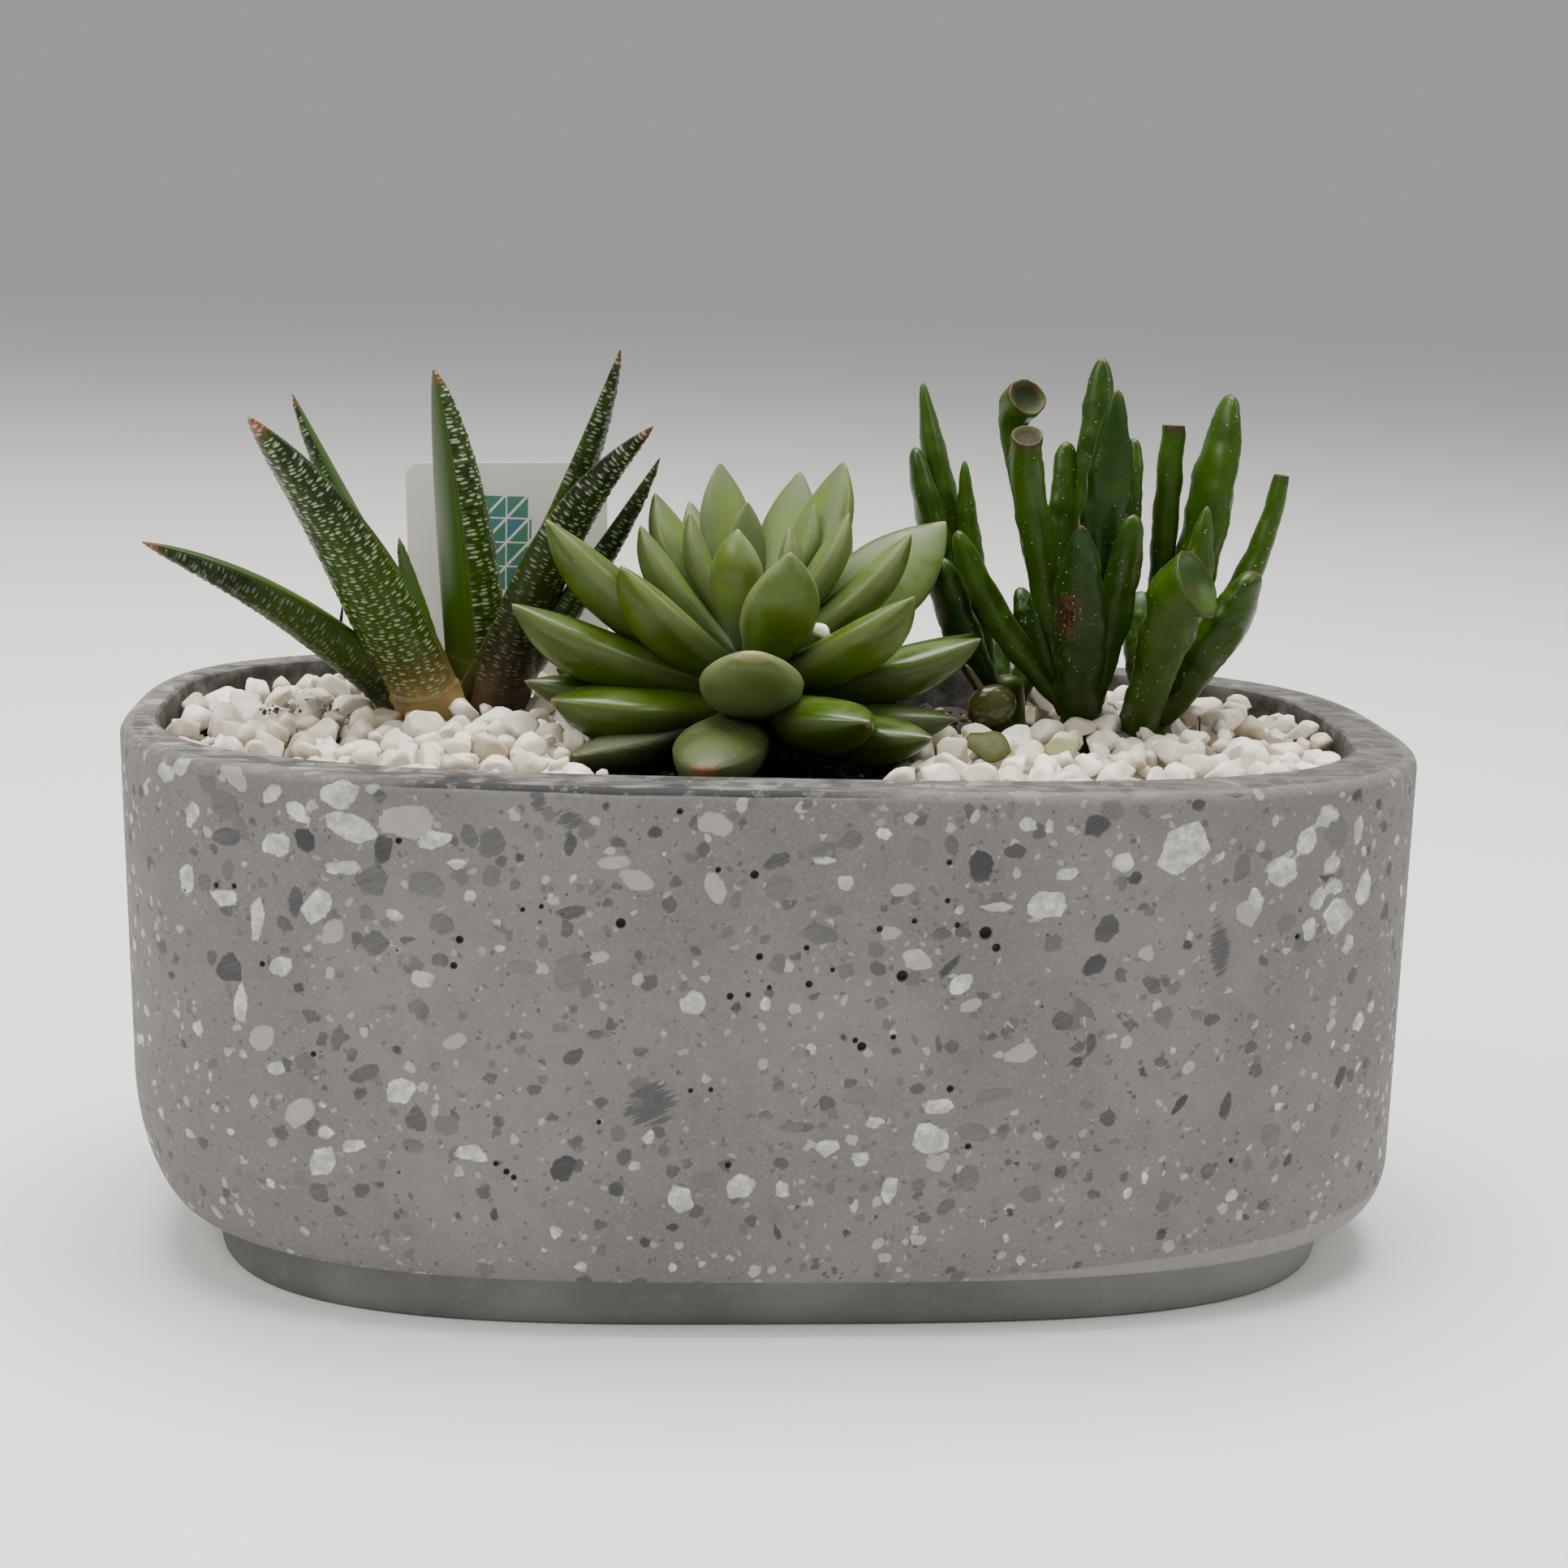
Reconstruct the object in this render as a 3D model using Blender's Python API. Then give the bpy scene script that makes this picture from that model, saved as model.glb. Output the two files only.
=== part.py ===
"""A succulent planter: a ground terrazzo pot with three kinds of succulent, white pebbles and a tag.

Metres, +Z up. The origin is the middle of the pot's underside, X runs along the pot's length,
and the front of the pot faces -Y. Lengths named below are in millimetres times MM.
"""
import math
import random

import bmesh
import bpy
from mathutils import Matrix, Vector
from mathutils.bvhtree import BVHTree

MM = 0.001
TOUCH_GAP = 0.3 * MM

# The pot: an oblong of cast concrete, ground smooth, on a smaller smooth foot.
POT_LENGTH = 250.0 * MM
POT_DEPTH = 132.0 * MM
POT_HEIGHT = 102.3 * MM
POT_SQUARENESS = 3.05
SIDE_WALL = 9.2 * MM
FRONT_WALL = 10.2 * MM
CAVITY_SHIFT = Vector((-2.5 * MM, 1.2 * MM))
FLOOR_THICKNESS = 15.0 * MM
CAVITY_DRAFT = 2.0 * MM
CAVITY_CORNER = 10.0 * MM
RIM_ROUNDING = 2.0 * MM
LIP_ROUNDING = 0.9 * MM
FOOT_HEIGHT = 10.0 * MM
FOOT_CHAMFER = 1.0 * MM
FOOT_DRAFT = 1.2 * MM
FOOT_SQUARENESS = 3.3
FOOT_INSET_LEFT = 16.0 * MM
FOOT_INSET_RIGHT = 10.5 * MM
FOOT_INSET_FRONT = 3.6 * MM
# How far each end leans in over the full height, and how its lower corner is rounded (in, up).
LEAN_LEFT = 1.5 * MM
LEAN_RIGHT = -2.5 * MM
LEAN_FRONT = -0.5 * MM
CORNER_LEFT = Vector((11.0 * MM, 26.0 * MM))
CORNER_RIGHT = Vector((7.5 * MM, 11.0 * MM))
CORNER_FRONT = Vector((2.6 * MM, 6.0 * MM))
OUTLINE_POINTS = 56
CORNER_STEPS = 4

# What fills it: soil, and a bed of pebbles that leaves a bare patch of soil at the front.
SOIL_TOP = 92.0 * MM
BED_TOP = 95.6 * MM
BARE_PATCH_CENTRE = Vector((-6.5 * MM, -21.0 * MM))
BARE_PATCH_RADII = Vector((31.5 * MM, 38.0 * MM))
PEBBLE_PITCH = 11.8 * MM
PEBBLE_HALF_LENGTH = 5.7 * MM
PEBBLE_MIDDLE = 96.4 * MM
CLOD_PITCH = 9.5 * MM
CLOD_HALF_LENGTH = 4.2 * MM
STEM_BOTTOM = 78.0 * MM

# The plant tag, a card on a pointed stake.
TAG_MIDDLE = Vector((-54.9 * MM, 43.0 * MM))
TAG_TOP = 146.0 * MM
TAG_WIDTH = 42.2 * MM
TAG_HEAD = 52.0 * MM
TAG_STAKE = 26.0 * MM
TAG_STAKE_WIDTH = 15.0 * MM
TAG_CORNER = 3.2 * MM
TAG_THICKNESS = 0.8 * MM
TAG_TILT = math.radians(1.7)

# Where each plant stands, with its stem's radius at the soil and at its top, and that top's height.
ZEBRA_AXIS = Vector((-63.0 * MM, 20.0 * MM))
ZEBRA_STEM = (9.0 * MM, 5.0 * MM, 105.0 * MM)
ZEBRA_LEAF_BASES = 5.5 * MM
ROSETTE_AXIS = Vector((-5.0 * MM, -2.0 * MM))
ROSETTE_STEM = (4.6 * MM, 2.6 * MM, 121.0 * MM)
FINGER_AXES = {
    "left": Vector((51.0 * MM, 23.0 * MM)),
    "middle": Vector((64.0 * MM, 10.0 * MM)),
    "right": Vector((78.5 * MM, 11.0 * MM)),
}
FINGER_STEM = (4.4 * MM, 3.4 * MM, 106.0 * MM)
ROOT_RADIUS = 3.0 * MM

# Leaves: azimuth, rise at the root and added curve in degrees; length, width, thickness, the
# root's height above the table and its distance from the plant's axis in millimetres.
# Azimuth 0 points along +X and -90 to the front.
ZEBRA_LEAVES = [
    (-153, 43, -31, 69, 14.0, 10.0, 99, 7),
    (-128, 61, -26, 81, 18.5, 10.0, 98, 7),
    (180, 60, 4, 68, 10.5, 6.5, 101, 1),
    (24, 95, 3, 66, 17.0, 13.0, 101, 1),
    (-18, 62, 10, 78, 12.0, 7.5, 101, 1),
    (-32, 76, -44, 73, 15.5, 9.5, 98, 7),
    (-15, 54, 5, 62, 9.5, 6.5, 100, 6),
    (136, 64, 5, 34, 7.5, 5.0, 100, 5),
    (87, 75, 5, 43, 8.5, 5.5, 100, 5),
    (126, 46, 8, 23, 9.0, 6.0, 99, 6),
    (62, 46, 10, 22, 9.0, 6.0, 99, 6),
]
ROSETTE_LEAVES = [
    (162, 58, 20, 26, 6.5, 5.0, 118),
    (-119, 66, 25, 24, 11.0, 6.8, 117),
    (103, 75, 15, 25, 8.0, 5.5, 119),
    (-10, 75, 15, 21, 7.0, 5.5, 119),
    (35, 59, 15, 27, 7.5, 5.5, 119),
    (0, 53, 15, 29, 9.5, 6.4, 118),
    (-77, 39, 35, 33, 15.0, 8.2, 112),
    (108, 58, 15, 38, 11.5, 7.2, 116),
    (113, 36, 20, 39, 9.5, 6.4, 114),
    (68, 44, 20, 42, 12.5, 7.4, 115),
    (39, 54, 15, 41, 13.5, 7.8, 116),
    (147, 48, 15, 35, 11.5, 7.4, 116),
    (175, 44, 20, 32, 9.0, 7.0, 114),
    (-168, 32, 15, 49, 14.0, 10.2, 111),
    (-154, 32, 20, 35, 14.5, 9.8, 111),
    (-165, 15, 15, 49, 15.0, 11.0, 108),
    (26, 27, 15, 49, 15.5, 7.6, 112),
    (-2, 38, 15, 38, 11.0, 8.0, 113),
    (-41, 23, 20, 40, 15.5, 9.8, 110),
    (-13, 13, 12, 44, 14.5, 10.0, 107),
    (12, 10, 10, 45, 9.5, 7.4, 107),
    (-94, 6, 46, 38, 19.0, 10.0, 109),
    (-156, 5, 2, 40, 18.5, 12.0, 104),
    (-173, 5, 2, 42, 10.5, 9.0, 105),
    (-66, 6, 2, 42, 16.5, 11.0, 105),
    (-48, 3, 2, 44, 14.0, 9.8, 103),
    (-23, 4, 0, 39, 11.0, 8.6, 103),
    (-104, 1, -6, 46, 17.0, 11.0, 103),
    (-145, -3, -4, 40, 10.5, 7.5, 102),
    (58, 26, 15, 46, 11.0, 7.2, 113),
    (38, 5, 8, 40, 11.0, 7.9, 105),
    (70, 14, 12, 44, 12.5, 8.2, 108),
    (92, 28, 15, 44, 12.5, 8.0, 111),
    (118, 10, 10, 43, 12.5, 8.4, 106),
    (143, 20, 14, 41, 13.0, 8.6, 109),
    (94, 2, 6, 38, 10.5, 7.9, 104),
    (162, 4, 6, 38, 10.5, 7.9, 104),
]
# Rosette leaves that are turned about their own length, by their place in the list.
ROSETTE_ROLLS = {16: math.radians(25)}
# Fingers, given the same way without the distance, are round or pointed, cut off flat, slim and
# flat, or open into a cup or a horn. A cup or horn adds its flare (0 to 1), the azimuth that its
# mouth nods to and by how many degrees.
FINGER_LEAVES = {
    "left": [
        (160, 71, 8, 68, 9.4, 6.8, 101, "point"),
        (177, 66, 10, 56, 9.8, 6.4, 101, "round"),
        (175, 77, 8, 51, 7.6, 5.6, 101, "point"),
        (-151, 54, 20, 36, 10.5, 6.6, 101, "round"),
        (100, 50, 14, 28, 8.0, 6.0, 101, "round"),
        (40, 58, 12, 28, 7.5, 5.6, 101, "round"),
    ],
    "middle": [
        (-176, 45, 25, 44, 7.8, 6.0, 103, "round"),
        (-169, 73, 4, 67, 5.4, 5.2, 104, "cup", 0.75, -60, 58),
        (-142, 67, 8, 61, 7.0, 6.4, 103, "cup", -0.04, -75, 22),
        (103, 75, 5, 54, 8.6, 5.8, 103, "round"),
        (79, 78, 5, 70, 8.0, 6.0, 104, "round"),
        (-74, 85, 5, 64, 11.4, 6.8, 104, "point"),
        (35, 80, 5, 55, 8.2, 5.8, 103, "round"),
        (-107, 56, 10, 49, 11.2, 7.4, 101, "round"),
        (-71, 71, 8, 44, 8.0, 6.2, 102, "round"),
        (-150, 52, 26, 26, 4.6, 4.0, 104, "round"),
        (140, 58, 10, 28, 7.6, 5.6, 101, "round"),
        (70, 56, 14, 28, 7.4, 5.6, 101, "round"),
    ],
    "right": [
        (71, 82, 3, 57, 5.6, 4.8, 104, "flat"),
        (25, 76, 8, 65, 11.4, 7.4, 103, "round"),
        (-42, 77, 10, 43, 9.0, 6.0, 103, "point"),
        (5, 54, 30, 54, 7.4, 6.2, 103, "slim"),
        (-40, 57, 10, 37, 12.5, 8.2, 101, "round"),
        (-101, 54, 5, 41, 12.0, 10.8, 100, "horn", 0.18, 5, 42),
        (86, 50, 14, 28, 8.0, 6.0, 101, "round"),
        (38, 44, 16, 28, 8.0, 6.0, 101, "round"),
    ],
}

# Small things lying about: two fallen leaves, and a pebble caught in the rosette. Each has its place
# before it is lowered onto what carries it, and its half sizes, or its leaf's sizes as above.
ROUND_LEAF_PLACE = Vector((44.5 * MM, 0.5 * MM, 118.0 * MM))
ROUND_LEAF_HALVES = (4.9 * MM, 3.4 * MM, 4.4 * MM)
STUB_RADII = (0.9 * MM, 0.6 * MM)
STUB_LENGTH = 8.0 * MM
STUB_MIDDLE = Vector((-3.4 * MM, 0.0, 5.2 * MM))
STUB_LEAN = math.radians(-35)
FLAT_LEAF_PLACE = Vector((33.0 * MM, -18.5 * MM, 108.0 * MM))
FLAT_LEAF_SPEC = (0, 0, 0, 9.0, 8.0, 1.6, 0)
FLAT_LEAF_TILT = math.radians(38)
FLAT_LEAF_TURN = math.radians(-20)
CAUGHT_PEBBLE_PLACE = Vector((7.0 * MM, -12.5 * MM, 135.0 * MM))
CAUGHT_PEBBLE_HALF_LENGTH = 2.0 * MM

# Colour and roughness of each piece, from the photo.
FINISHES = {
    "terrazzo_pot": ((0.28, 0.28, 0.29), 0.65),
    "soil": ((0.018, 0.014, 0.011), 0.95),
    "white_pebbles": ((0.72, 0.69, 0.64), 0.6),
    "zebra_plant": ((0.045, 0.115, 0.02), 0.45),
    "rosette_plant": ((0.17, 0.28, 0.075), 0.42),
    "finger_stem": ((0.035, 0.12, 0.012), 0.25),
    "plant_tag": ((0.75, 0.73, 0.72), 0.5),
    "fallen_leaf": ((0.12, 0.14, 0.03), 0.35),
    "caught_pebble": ((0.8, 0.78, 0.74), 0.6),
}


def clear_scene():
    for obj in list(bpy.data.objects):
        bpy.data.objects.remove(obj, do_unlink=True)


def finish(name, key):
    material = bpy.data.materials.new(name)
    material.use_nodes = True
    colour, roughness = FINISHES[key]
    shader = material.node_tree.nodes["Principled BSDF"]
    shader.inputs["Base Color"].default_value = (*colour, 1.0)
    shader.inputs["Roughness"].default_value = roughness
    return material


def object_from(name, bm, key=None):
    mesh = bpy.data.meshes.new(name)
    bm.normal_update()
    bm.to_mesh(mesh)
    bm.free()
    obj = bpy.data.objects.new(name, mesh)
    bpy.context.scene.collection.objects.link(obj)
    if key:
        mesh.materials.append(finish(name, key))
    return obj


def signed_power(value, power):
    return math.copysign(abs(value) ** power, value)


def oblong(left, right, half_depth, squareness, count=OUTLINE_POINTS):
    """Points evenly spaced round a rounded oblong whose two ends reach out by left and right."""
    fine_count = 16 * count
    fine = []
    for i in range(fine_count):
        angle = 2 * math.pi * i / fine_count
        reach = right if math.cos(angle) >= 0 else left
        fine.append(Vector((reach * signed_power(math.cos(angle), 2 / squareness),
                            half_depth * signed_power(math.sin(angle), 2 / squareness))))
    steps = [(fine[(i + 1) % fine_count] - fine[i]).length for i in range(fine_count)]
    total = sum(steps)
    points = []
    walked = 0.0
    for point, step in zip(fine, steps):
        if walked >= total * len(points) / count and len(points) < count:
            points.append(point)
        walked += step
    return points


def middle_of(points):
    return sum(points, Vector()) / len(points)


def first_ring(bm, points):
    verts = [bm.verts.new(point) for point in points]
    for i, vert in enumerate(verts):
        bm.edges.new((vert, verts[(i + 1) % len(verts)]))
    return verts


def next_ring(bm, verts, points):
    """Extrudes a ring of edges to the next ring's points."""
    edges = [bm.edges.get((verts[i], verts[(i + 1) % len(verts)])) for i in range(len(verts))]
    made = bmesh.ops.extrude_edge_only(bm, edges=edges)["geom"]
    new_verts = [item for item in made if isinstance(item, bmesh.types.BMVert)]
    new_set = set(new_verts)
    ordered = []
    for vert in verts:
        twin = next(edge.other_vert(vert) for edge in vert.link_edges
                    if edge.other_vert(vert) in new_set)
        ordered.append(twin)
    for vert, point in zip(ordered, points):
        vert.co = point
    return ordered


def lofted(rings, tip=None):
    """A closed solid through rings of points, capped flat, or drawn to a point at the tip."""
    bm = bmesh.new()
    verts = first_ring(bm, rings[0])
    bm.faces.new(verts)
    for points in rings[1:]:
        verts = next_ring(bm, verts, points)
    cap = bm.faces.new(verts)
    if tip is not None:
        poked = bmesh.ops.poke(bm, faces=[cap])
        poked["verts"][0].co = tip
    bmesh.ops.recalc_face_normals(bm, faces=bm.faces)
    return bm


def body_half_sizes(height):
    """How far the pot's ends and front reach at a height, as left, right and half depth."""
    down = (POT_HEIGHT - height) / POT_HEIGHT

    def corner(size):
        above = (height - FOOT_HEIGHT) / size.y
        if above >= 1:
            return 0.0
        return size.x * (1 - math.sqrt(max(0.0, 1 - (1 - above) ** 2)))

    return (POT_LENGTH / 2 - LEAN_LEFT * down - corner(CORNER_LEFT),
            POT_LENGTH / 2 - LEAN_RIGHT * down - corner(CORNER_RIGHT),
            POT_DEPTH / 2 - LEAN_FRONT * down - corner(CORNER_FRONT))


def cavity_ring(height, clearance=0.0):
    """The cavity's outline at a height, drawn in by a clearance."""
    top = POT_HEIGHT
    inset = CAVITY_DRAFT * (top - height) / (top - FLOOR_THICKNESS) + clearance
    above = (height - FLOOR_THICKNESS) / CAVITY_CORNER
    if above < 1:
        inset += CAVITY_CORNER * (1 - math.sqrt(max(0.0, 1 - (1 - above) ** 2)))
    half_length = POT_LENGTH / 2 - SIDE_WALL - inset
    half_depth = POT_DEPTH / 2 - FRONT_WALL - inset
    outline = oblong(half_length, half_length, half_depth, POT_SQUARENESS)
    return [(point + CAVITY_SHIFT).to_3d() + Vector((0, 0, height)) for point in outline]


def ring_at(left, right, half_depth, squareness, height):
    return [point.to_3d() + Vector((0, 0, height))
            for point in oblong(left, right, half_depth, squareness)]


def terrazzo_pot():
    def foot(inset, height):
        return ring_at(POT_LENGTH / 2 - FOOT_INSET_LEFT - inset, POT_LENGTH / 2 - FOOT_INSET_RIGHT - inset,
                       POT_DEPTH / 2 - FOOT_INSET_FRONT - inset, FOOT_SQUARENESS, height)

    rings = [foot(FOOT_CHAMFER + FOOT_DRAFT, 0), foot(FOOT_DRAFT, FOOT_CHAMFER), foot(0, FOOT_HEIGHT)]
    corner_top = max(CORNER_LEFT.y, CORNER_RIGHT.y)
    heights = [FOOT_HEIGHT + corner_top * (step / CORNER_STEPS) ** 1.6 for step in range(CORNER_STEPS + 1)]
    heights += [POT_HEIGHT * 0.62, POT_HEIGHT - RIM_ROUNDING]
    for height in heights:
        rings.append(ring_at(*body_half_sizes(height), POT_SQUARENESS, height))
    left, right, half_depth = body_half_sizes(POT_HEIGHT)
    for turn in (45, 90):
        inset = RIM_ROUNDING * (1 - math.cos(math.radians(turn)))
        rise = RIM_ROUNDING * (1 - math.sin(math.radians(turn)))
        rings.append(ring_at(left - inset, right - inset, half_depth - inset, POT_SQUARENESS,
                             POT_HEIGHT - rise))
    rings.append([point + Vector((0, 0, LIP_ROUNDING))
                  for point in cavity_ring(POT_HEIGHT - LIP_ROUNDING, -LIP_ROUNDING)])
    for height in (POT_HEIGHT - LIP_ROUNDING, SOIL_TOP, FLOOR_THICKNESS + CAVITY_CORNER,
                   FLOOR_THICKNESS + 0.3 * CAVITY_CORNER, FLOOR_THICKNESS):
        rings.append(cavity_ring(height))
    return object_from("terrazzo_pot", lofted(rings), "terrazzo_pot")


# A leaf curves more towards its tip: its added curve grows with this power of the way along it.
CURL = 1.5
ARC_STEPS = 24


def arc_frame(root, azimuth, rise, bend, length, t):
    """The point at t along a leaf's curved middle line, with its side and upward directions."""
    outward = Vector((math.cos(azimuth), math.sin(azimuth), 0))
    along = up = 0.0
    for step in range(ARC_STEPS):
        turn = rise + bend * (t * (step + 0.5) / ARC_STEPS) ** CURL
        along += math.cos(turn) * t / ARC_STEPS
        up += math.sin(turn) * t / ARC_STEPS
    turn = rise + bend * t ** CURL
    point = root + length * (outward * along + Vector((0, 0, up)))
    side = Vector((-outward.y, outward.x, 0))
    normal = outward * -math.sin(turn) + Vector((0, 0, math.cos(turn)))
    return point, side, normal


def leaf_root(axis, azimuth, height, reach=ROOT_RADIUS):
    return Vector((axis.x + reach * math.cos(azimuth), axis.y + reach * math.sin(azimuth), height))


def leaf_rings(axis, spec, stations, section, roll=0.0):
    """Rings round a leaf's middle line: stations give t, width and thickness shares, and the
    section gives each point as shares of half the width and of the thickness. The roll turns the
    leaf about its own length."""
    azimuth, rise, bend = (math.radians(angle) for angle in spec[:3])
    length, width, thickness, height = (size * MM for size in spec[3:7])
    root = leaf_root(axis, azimuth, height)
    rings = []
    for t, wide, thick in stations:
        point, level_side, level_normal = arc_frame(root, azimuth, rise, bend, length, t)
        side = level_side * math.cos(roll) + level_normal * math.sin(roll)
        normal = level_normal * math.cos(roll) - level_side * math.sin(roll)
        rings.append([point + side * (across * wide * width / 2) + normal * (through * thick * thickness)
                      for across, through in section])
    tip = arc_frame(root, azimuth, rise, bend, length, 1.0)[0]
    return rings, tip


# A rosette leaf is nearly flat above and keeled below, widest past its middle.
ROSETTE_SECTION = [(1, 0), (0, 0.3), (-1, 0), (-0.56, -0.57), (0, -0.7), (0.56, -0.57)]
ROSETTE_STATIONS = [(0.0, 0.42, 0.6), (0.28, 0.68, 0.9), (0.54, 1.0, 1.0), (0.76, 0.84, 0.84),
                    (0.92, 0.4, 0.46)]


def rosette_leaf(axis, spec, roll):
    return lofted(*leaf_rings(axis, spec, ROSETTE_STATIONS, ROSETTE_SECTION, roll))


# A zebra leaf tapers all the way and carries raised bands across its rounded outer face.
ZEBRA_INNER = [(1, 0.0), (0.0, 0.16), (-1, 0.0)]
ZEBRA_OUTER = [(-0.84, -0.38), (-0.3, -0.76), (0.3, -0.76), (0.84, -0.38)]
ZEBRA_BAND_PITCH = 7.4 * MM
ZEBRA_BAND_RISE = 0.9


def zebra_leaf(axis, spec):
    azimuth, rise, bend = (math.radians(angle) for angle in spec[:3])
    length, width, thickness, height, reach = (size * MM for size in spec[3:8])
    root = leaf_root(axis, azimuth, height, reach)
    bands = max(4, round(length / ZEBRA_BAND_PITCH))
    rings = []
    for step in range(2 * bands):
        t = 0.96 * step / (2 * bands - 1)
        share = (1 - t) ** 0.8 * (0.8 + 0.85 * t) if t > 0.12 else 0.8 + 0.05 * t / 0.12
        share = max(share, 0.08)
        raised = 1 + (ZEBRA_BAND_RISE * MM / (width * share) if step % 2 else 0.0)
        point, side, normal = arc_frame(root, azimuth, rise, bend, length, t)
        ring = []
        for across, through in ZEBRA_INNER:
            ring.append(point + side * (across * share * width / 2) + normal * (through * share * thickness))
        for across, through in ZEBRA_OUTER:
            ring.append(point + side * (across * raised * share * width / 2)
                        + normal * (through * raised * share * thickness))
        rings.append(ring)
    tip = arc_frame(root, azimuth, rise, bend, length, 1.0)[0]
    return lofted(rings, tip)


# A finger leaf is a fleshy rod, rounded at its tip, cut off flat or opened out into a nodding cup.
FINGER_SIDES = 7
FINGER_TIPS = {
    "round": [(0.0, 0.62), (0.25, 0.84), (0.6, 1.0), (0.86, 0.8), (0.965, 0.46)],
    "point": [(0.0, 0.62), (0.25, 0.86), (0.55, 1.0), (0.8, 0.72), (0.95, 0.34)],
    "flat": [(0.0, 0.7), (0.3, 0.88), (0.65, 0.95), (0.985, 0.84)],
    "slim": [(0.0, 0.8), (0.35, 1.0), (0.7, 0.76), (0.985, 0.52)],
    "cup": [(0.0, 0.85), (0.4, 0.94), (0.84, 1.0)],
    "horn": [(0.0, 0.66), (0.4, 0.76), (0.84, 1.0)],
}
CUP_DEPTH = 0.5
CUP_ROUNDNESS = 0.7
# Each ring of a cup: its advance as a share of the length, how far it has turned and opened out.
CUP_RINGS = [(0.075, 0.5, 0.45, 1.0), (0.075, 1.0, 1.0, 1.0), (0.012, 1.0, 1.0, 0.84)]


def finger_leaf(axis, spec):
    turns = [2 * math.pi * i / FINGER_SIDES for i in range(FINGER_SIDES)]
    section = [(math.cos(turn), 0.5 * math.sin(turn)) for turn in turns]
    kind = spec[7]
    stations = [(t, share, share) for t, share in FINGER_TIPS[kind]]
    rings, tip = leaf_rings(axis, spec, stations, section)
    if kind in ("flat", "slim"):
        tip = middle_of(rings[-1])
    if kind in ("cup", "horn"):
        cup, tip = nodding_cup(axis, spec, FINGER_TIPS[kind][-1][0], turns)
        rings += cup
    return lofted(rings, tip)


def nodding_cup(axis, spec, start, turns):
    """The flared end of a finger past the start: its rings turn towards the nod, to a dimple."""
    azimuth, rise, bend = (math.radians(angle) for angle in spec[:3])
    length, width, thickness, height = (size * MM for size in spec[3:7])
    flare, nod_azimuth, nod = spec[8], math.radians(spec[9]), math.radians(spec[10])
    root = leaf_root(axis, azimuth, height)
    place, side, normal = arc_frame(root, azimuth, rise, bend, length, start)
    along = side.cross(normal)
    nod_axis = along.cross(Vector((math.cos(nod_azimuth), math.sin(nod_azimuth), 0))).normalized()
    half_width = width / 2
    half_depth = (thickness + CUP_ROUNDNESS * (width - thickness)) / 2
    rings = []
    for advance, turned, opened, share in CUP_RINGS:
        share *= 1 + opened * flare
        turn = Matrix.Rotation(nod * turned, 3, nod_axis)
        place = place + turn @ along * (advance * length)
        across, through = turn @ side * half_width * share, turn @ normal * half_depth * share
        rings.append([place + across * math.cos(angle) + through * math.sin(angle) for angle in turns])
    dimple = place - turn @ along * CUP_DEPTH * half_width * (0.5 + flare)
    return rings, dimple


def plain_stem(axis, sizes, sides=10):
    """A stem that goes down into the soil, as wide as sizes give at the soil and at its top."""
    foot_radius, top_radius, top = sizes
    rings = []
    for height, radius in ((STEM_BOTTOM, 0.7 * foot_radius), (BED_TOP, foot_radius),
                           (BED_TOP + 0.4 * (top - BED_TOP), foot_radius), (top, top_radius)):
        turns = [2 * math.pi * i / sides for i in range(sides)]
        rings.append([Vector((axis.x + radius * math.cos(turn), axis.y + radius * math.sin(turn), height))
                      for turn in turns])
    return lofted(rings, Vector((axis.x, axis.y, top + 0.5 * top_radius)))


def shells(bm):
    """The connected bodies of a mesh, as lists of faces."""
    left = set(bm.faces)
    found = []
    while left:
        stack = [left.pop()]
        shell = list(stack)
        while stack:
            for edge in stack.pop().edges:
                for face in edge.link_faces:
                    if face in left:
                        left.remove(face)
                        stack.append(face)
                        shell.append(face)
        found.append(shell)
    return found


def keep_outer_body(mesh):
    """Fills hollows that fusing sealed and drops loose scraps: only the largest shell stays."""
    bm = bmesh.new()
    bm.from_mesh(mesh)
    found = sorted(shells(bm), key=lambda shell: sum(face.calc_area() for face in shell))
    for shell in found[:-1]:
        bmesh.ops.delete(bm, geom=shell, context="FACES")
    bmesh.ops.triangulate(bm, faces=bm.faces)
    bm.to_mesh(mesh)
    bm.free()


def settle_modifiers(obj):
    depsgraph = bpy.context.evaluated_depsgraph_get()
    depsgraph.update()
    baked = bpy.data.meshes.new_from_object(obj.evaluated_get(depsgraph))
    obj.modifiers.clear()
    obj.data = baked


def fuse(base, pieces, solver="MANIFOLD"):
    """Joins loose pieces to the base as one body and removes them."""
    group = bpy.data.collections.new(base.name + "_pieces")
    bpy.context.scene.collection.children.link(group)
    for piece in pieces:
        bpy.context.scene.collection.objects.unlink(piece)
        group.objects.link(piece)
    join = base.modifiers.new("join", "BOOLEAN")
    join.operation = "UNION"
    join.operand_type = "COLLECTION"
    join.collection = group
    join.solver = solver
    settle_modifiers(base)
    for piece in pieces:
        bpy.data.objects.remove(piece, do_unlink=True)
    bpy.data.collections.remove(group)
    keep_outer_body(base.data)
    return base


def cut(base, cutters, solver="MANIFOLD"):
    for cutter in cutters:
        bore = base.modifiers.new("hole", "BOOLEAN")
        bore.operation = "DIFFERENCE"
        bore.solver = solver
        bore.object = cutter
        settle_modifiers(base)
        bpy.data.objects.remove(cutter, do_unlink=True)
    return base


def plant(name, key, stem, leaves):
    base = object_from(name, stem, key)
    pieces = [object_from(f"{name}_leaf_{i}", leaf) for i, leaf in enumerate(leaves)]
    return fuse(base, pieces)


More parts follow.
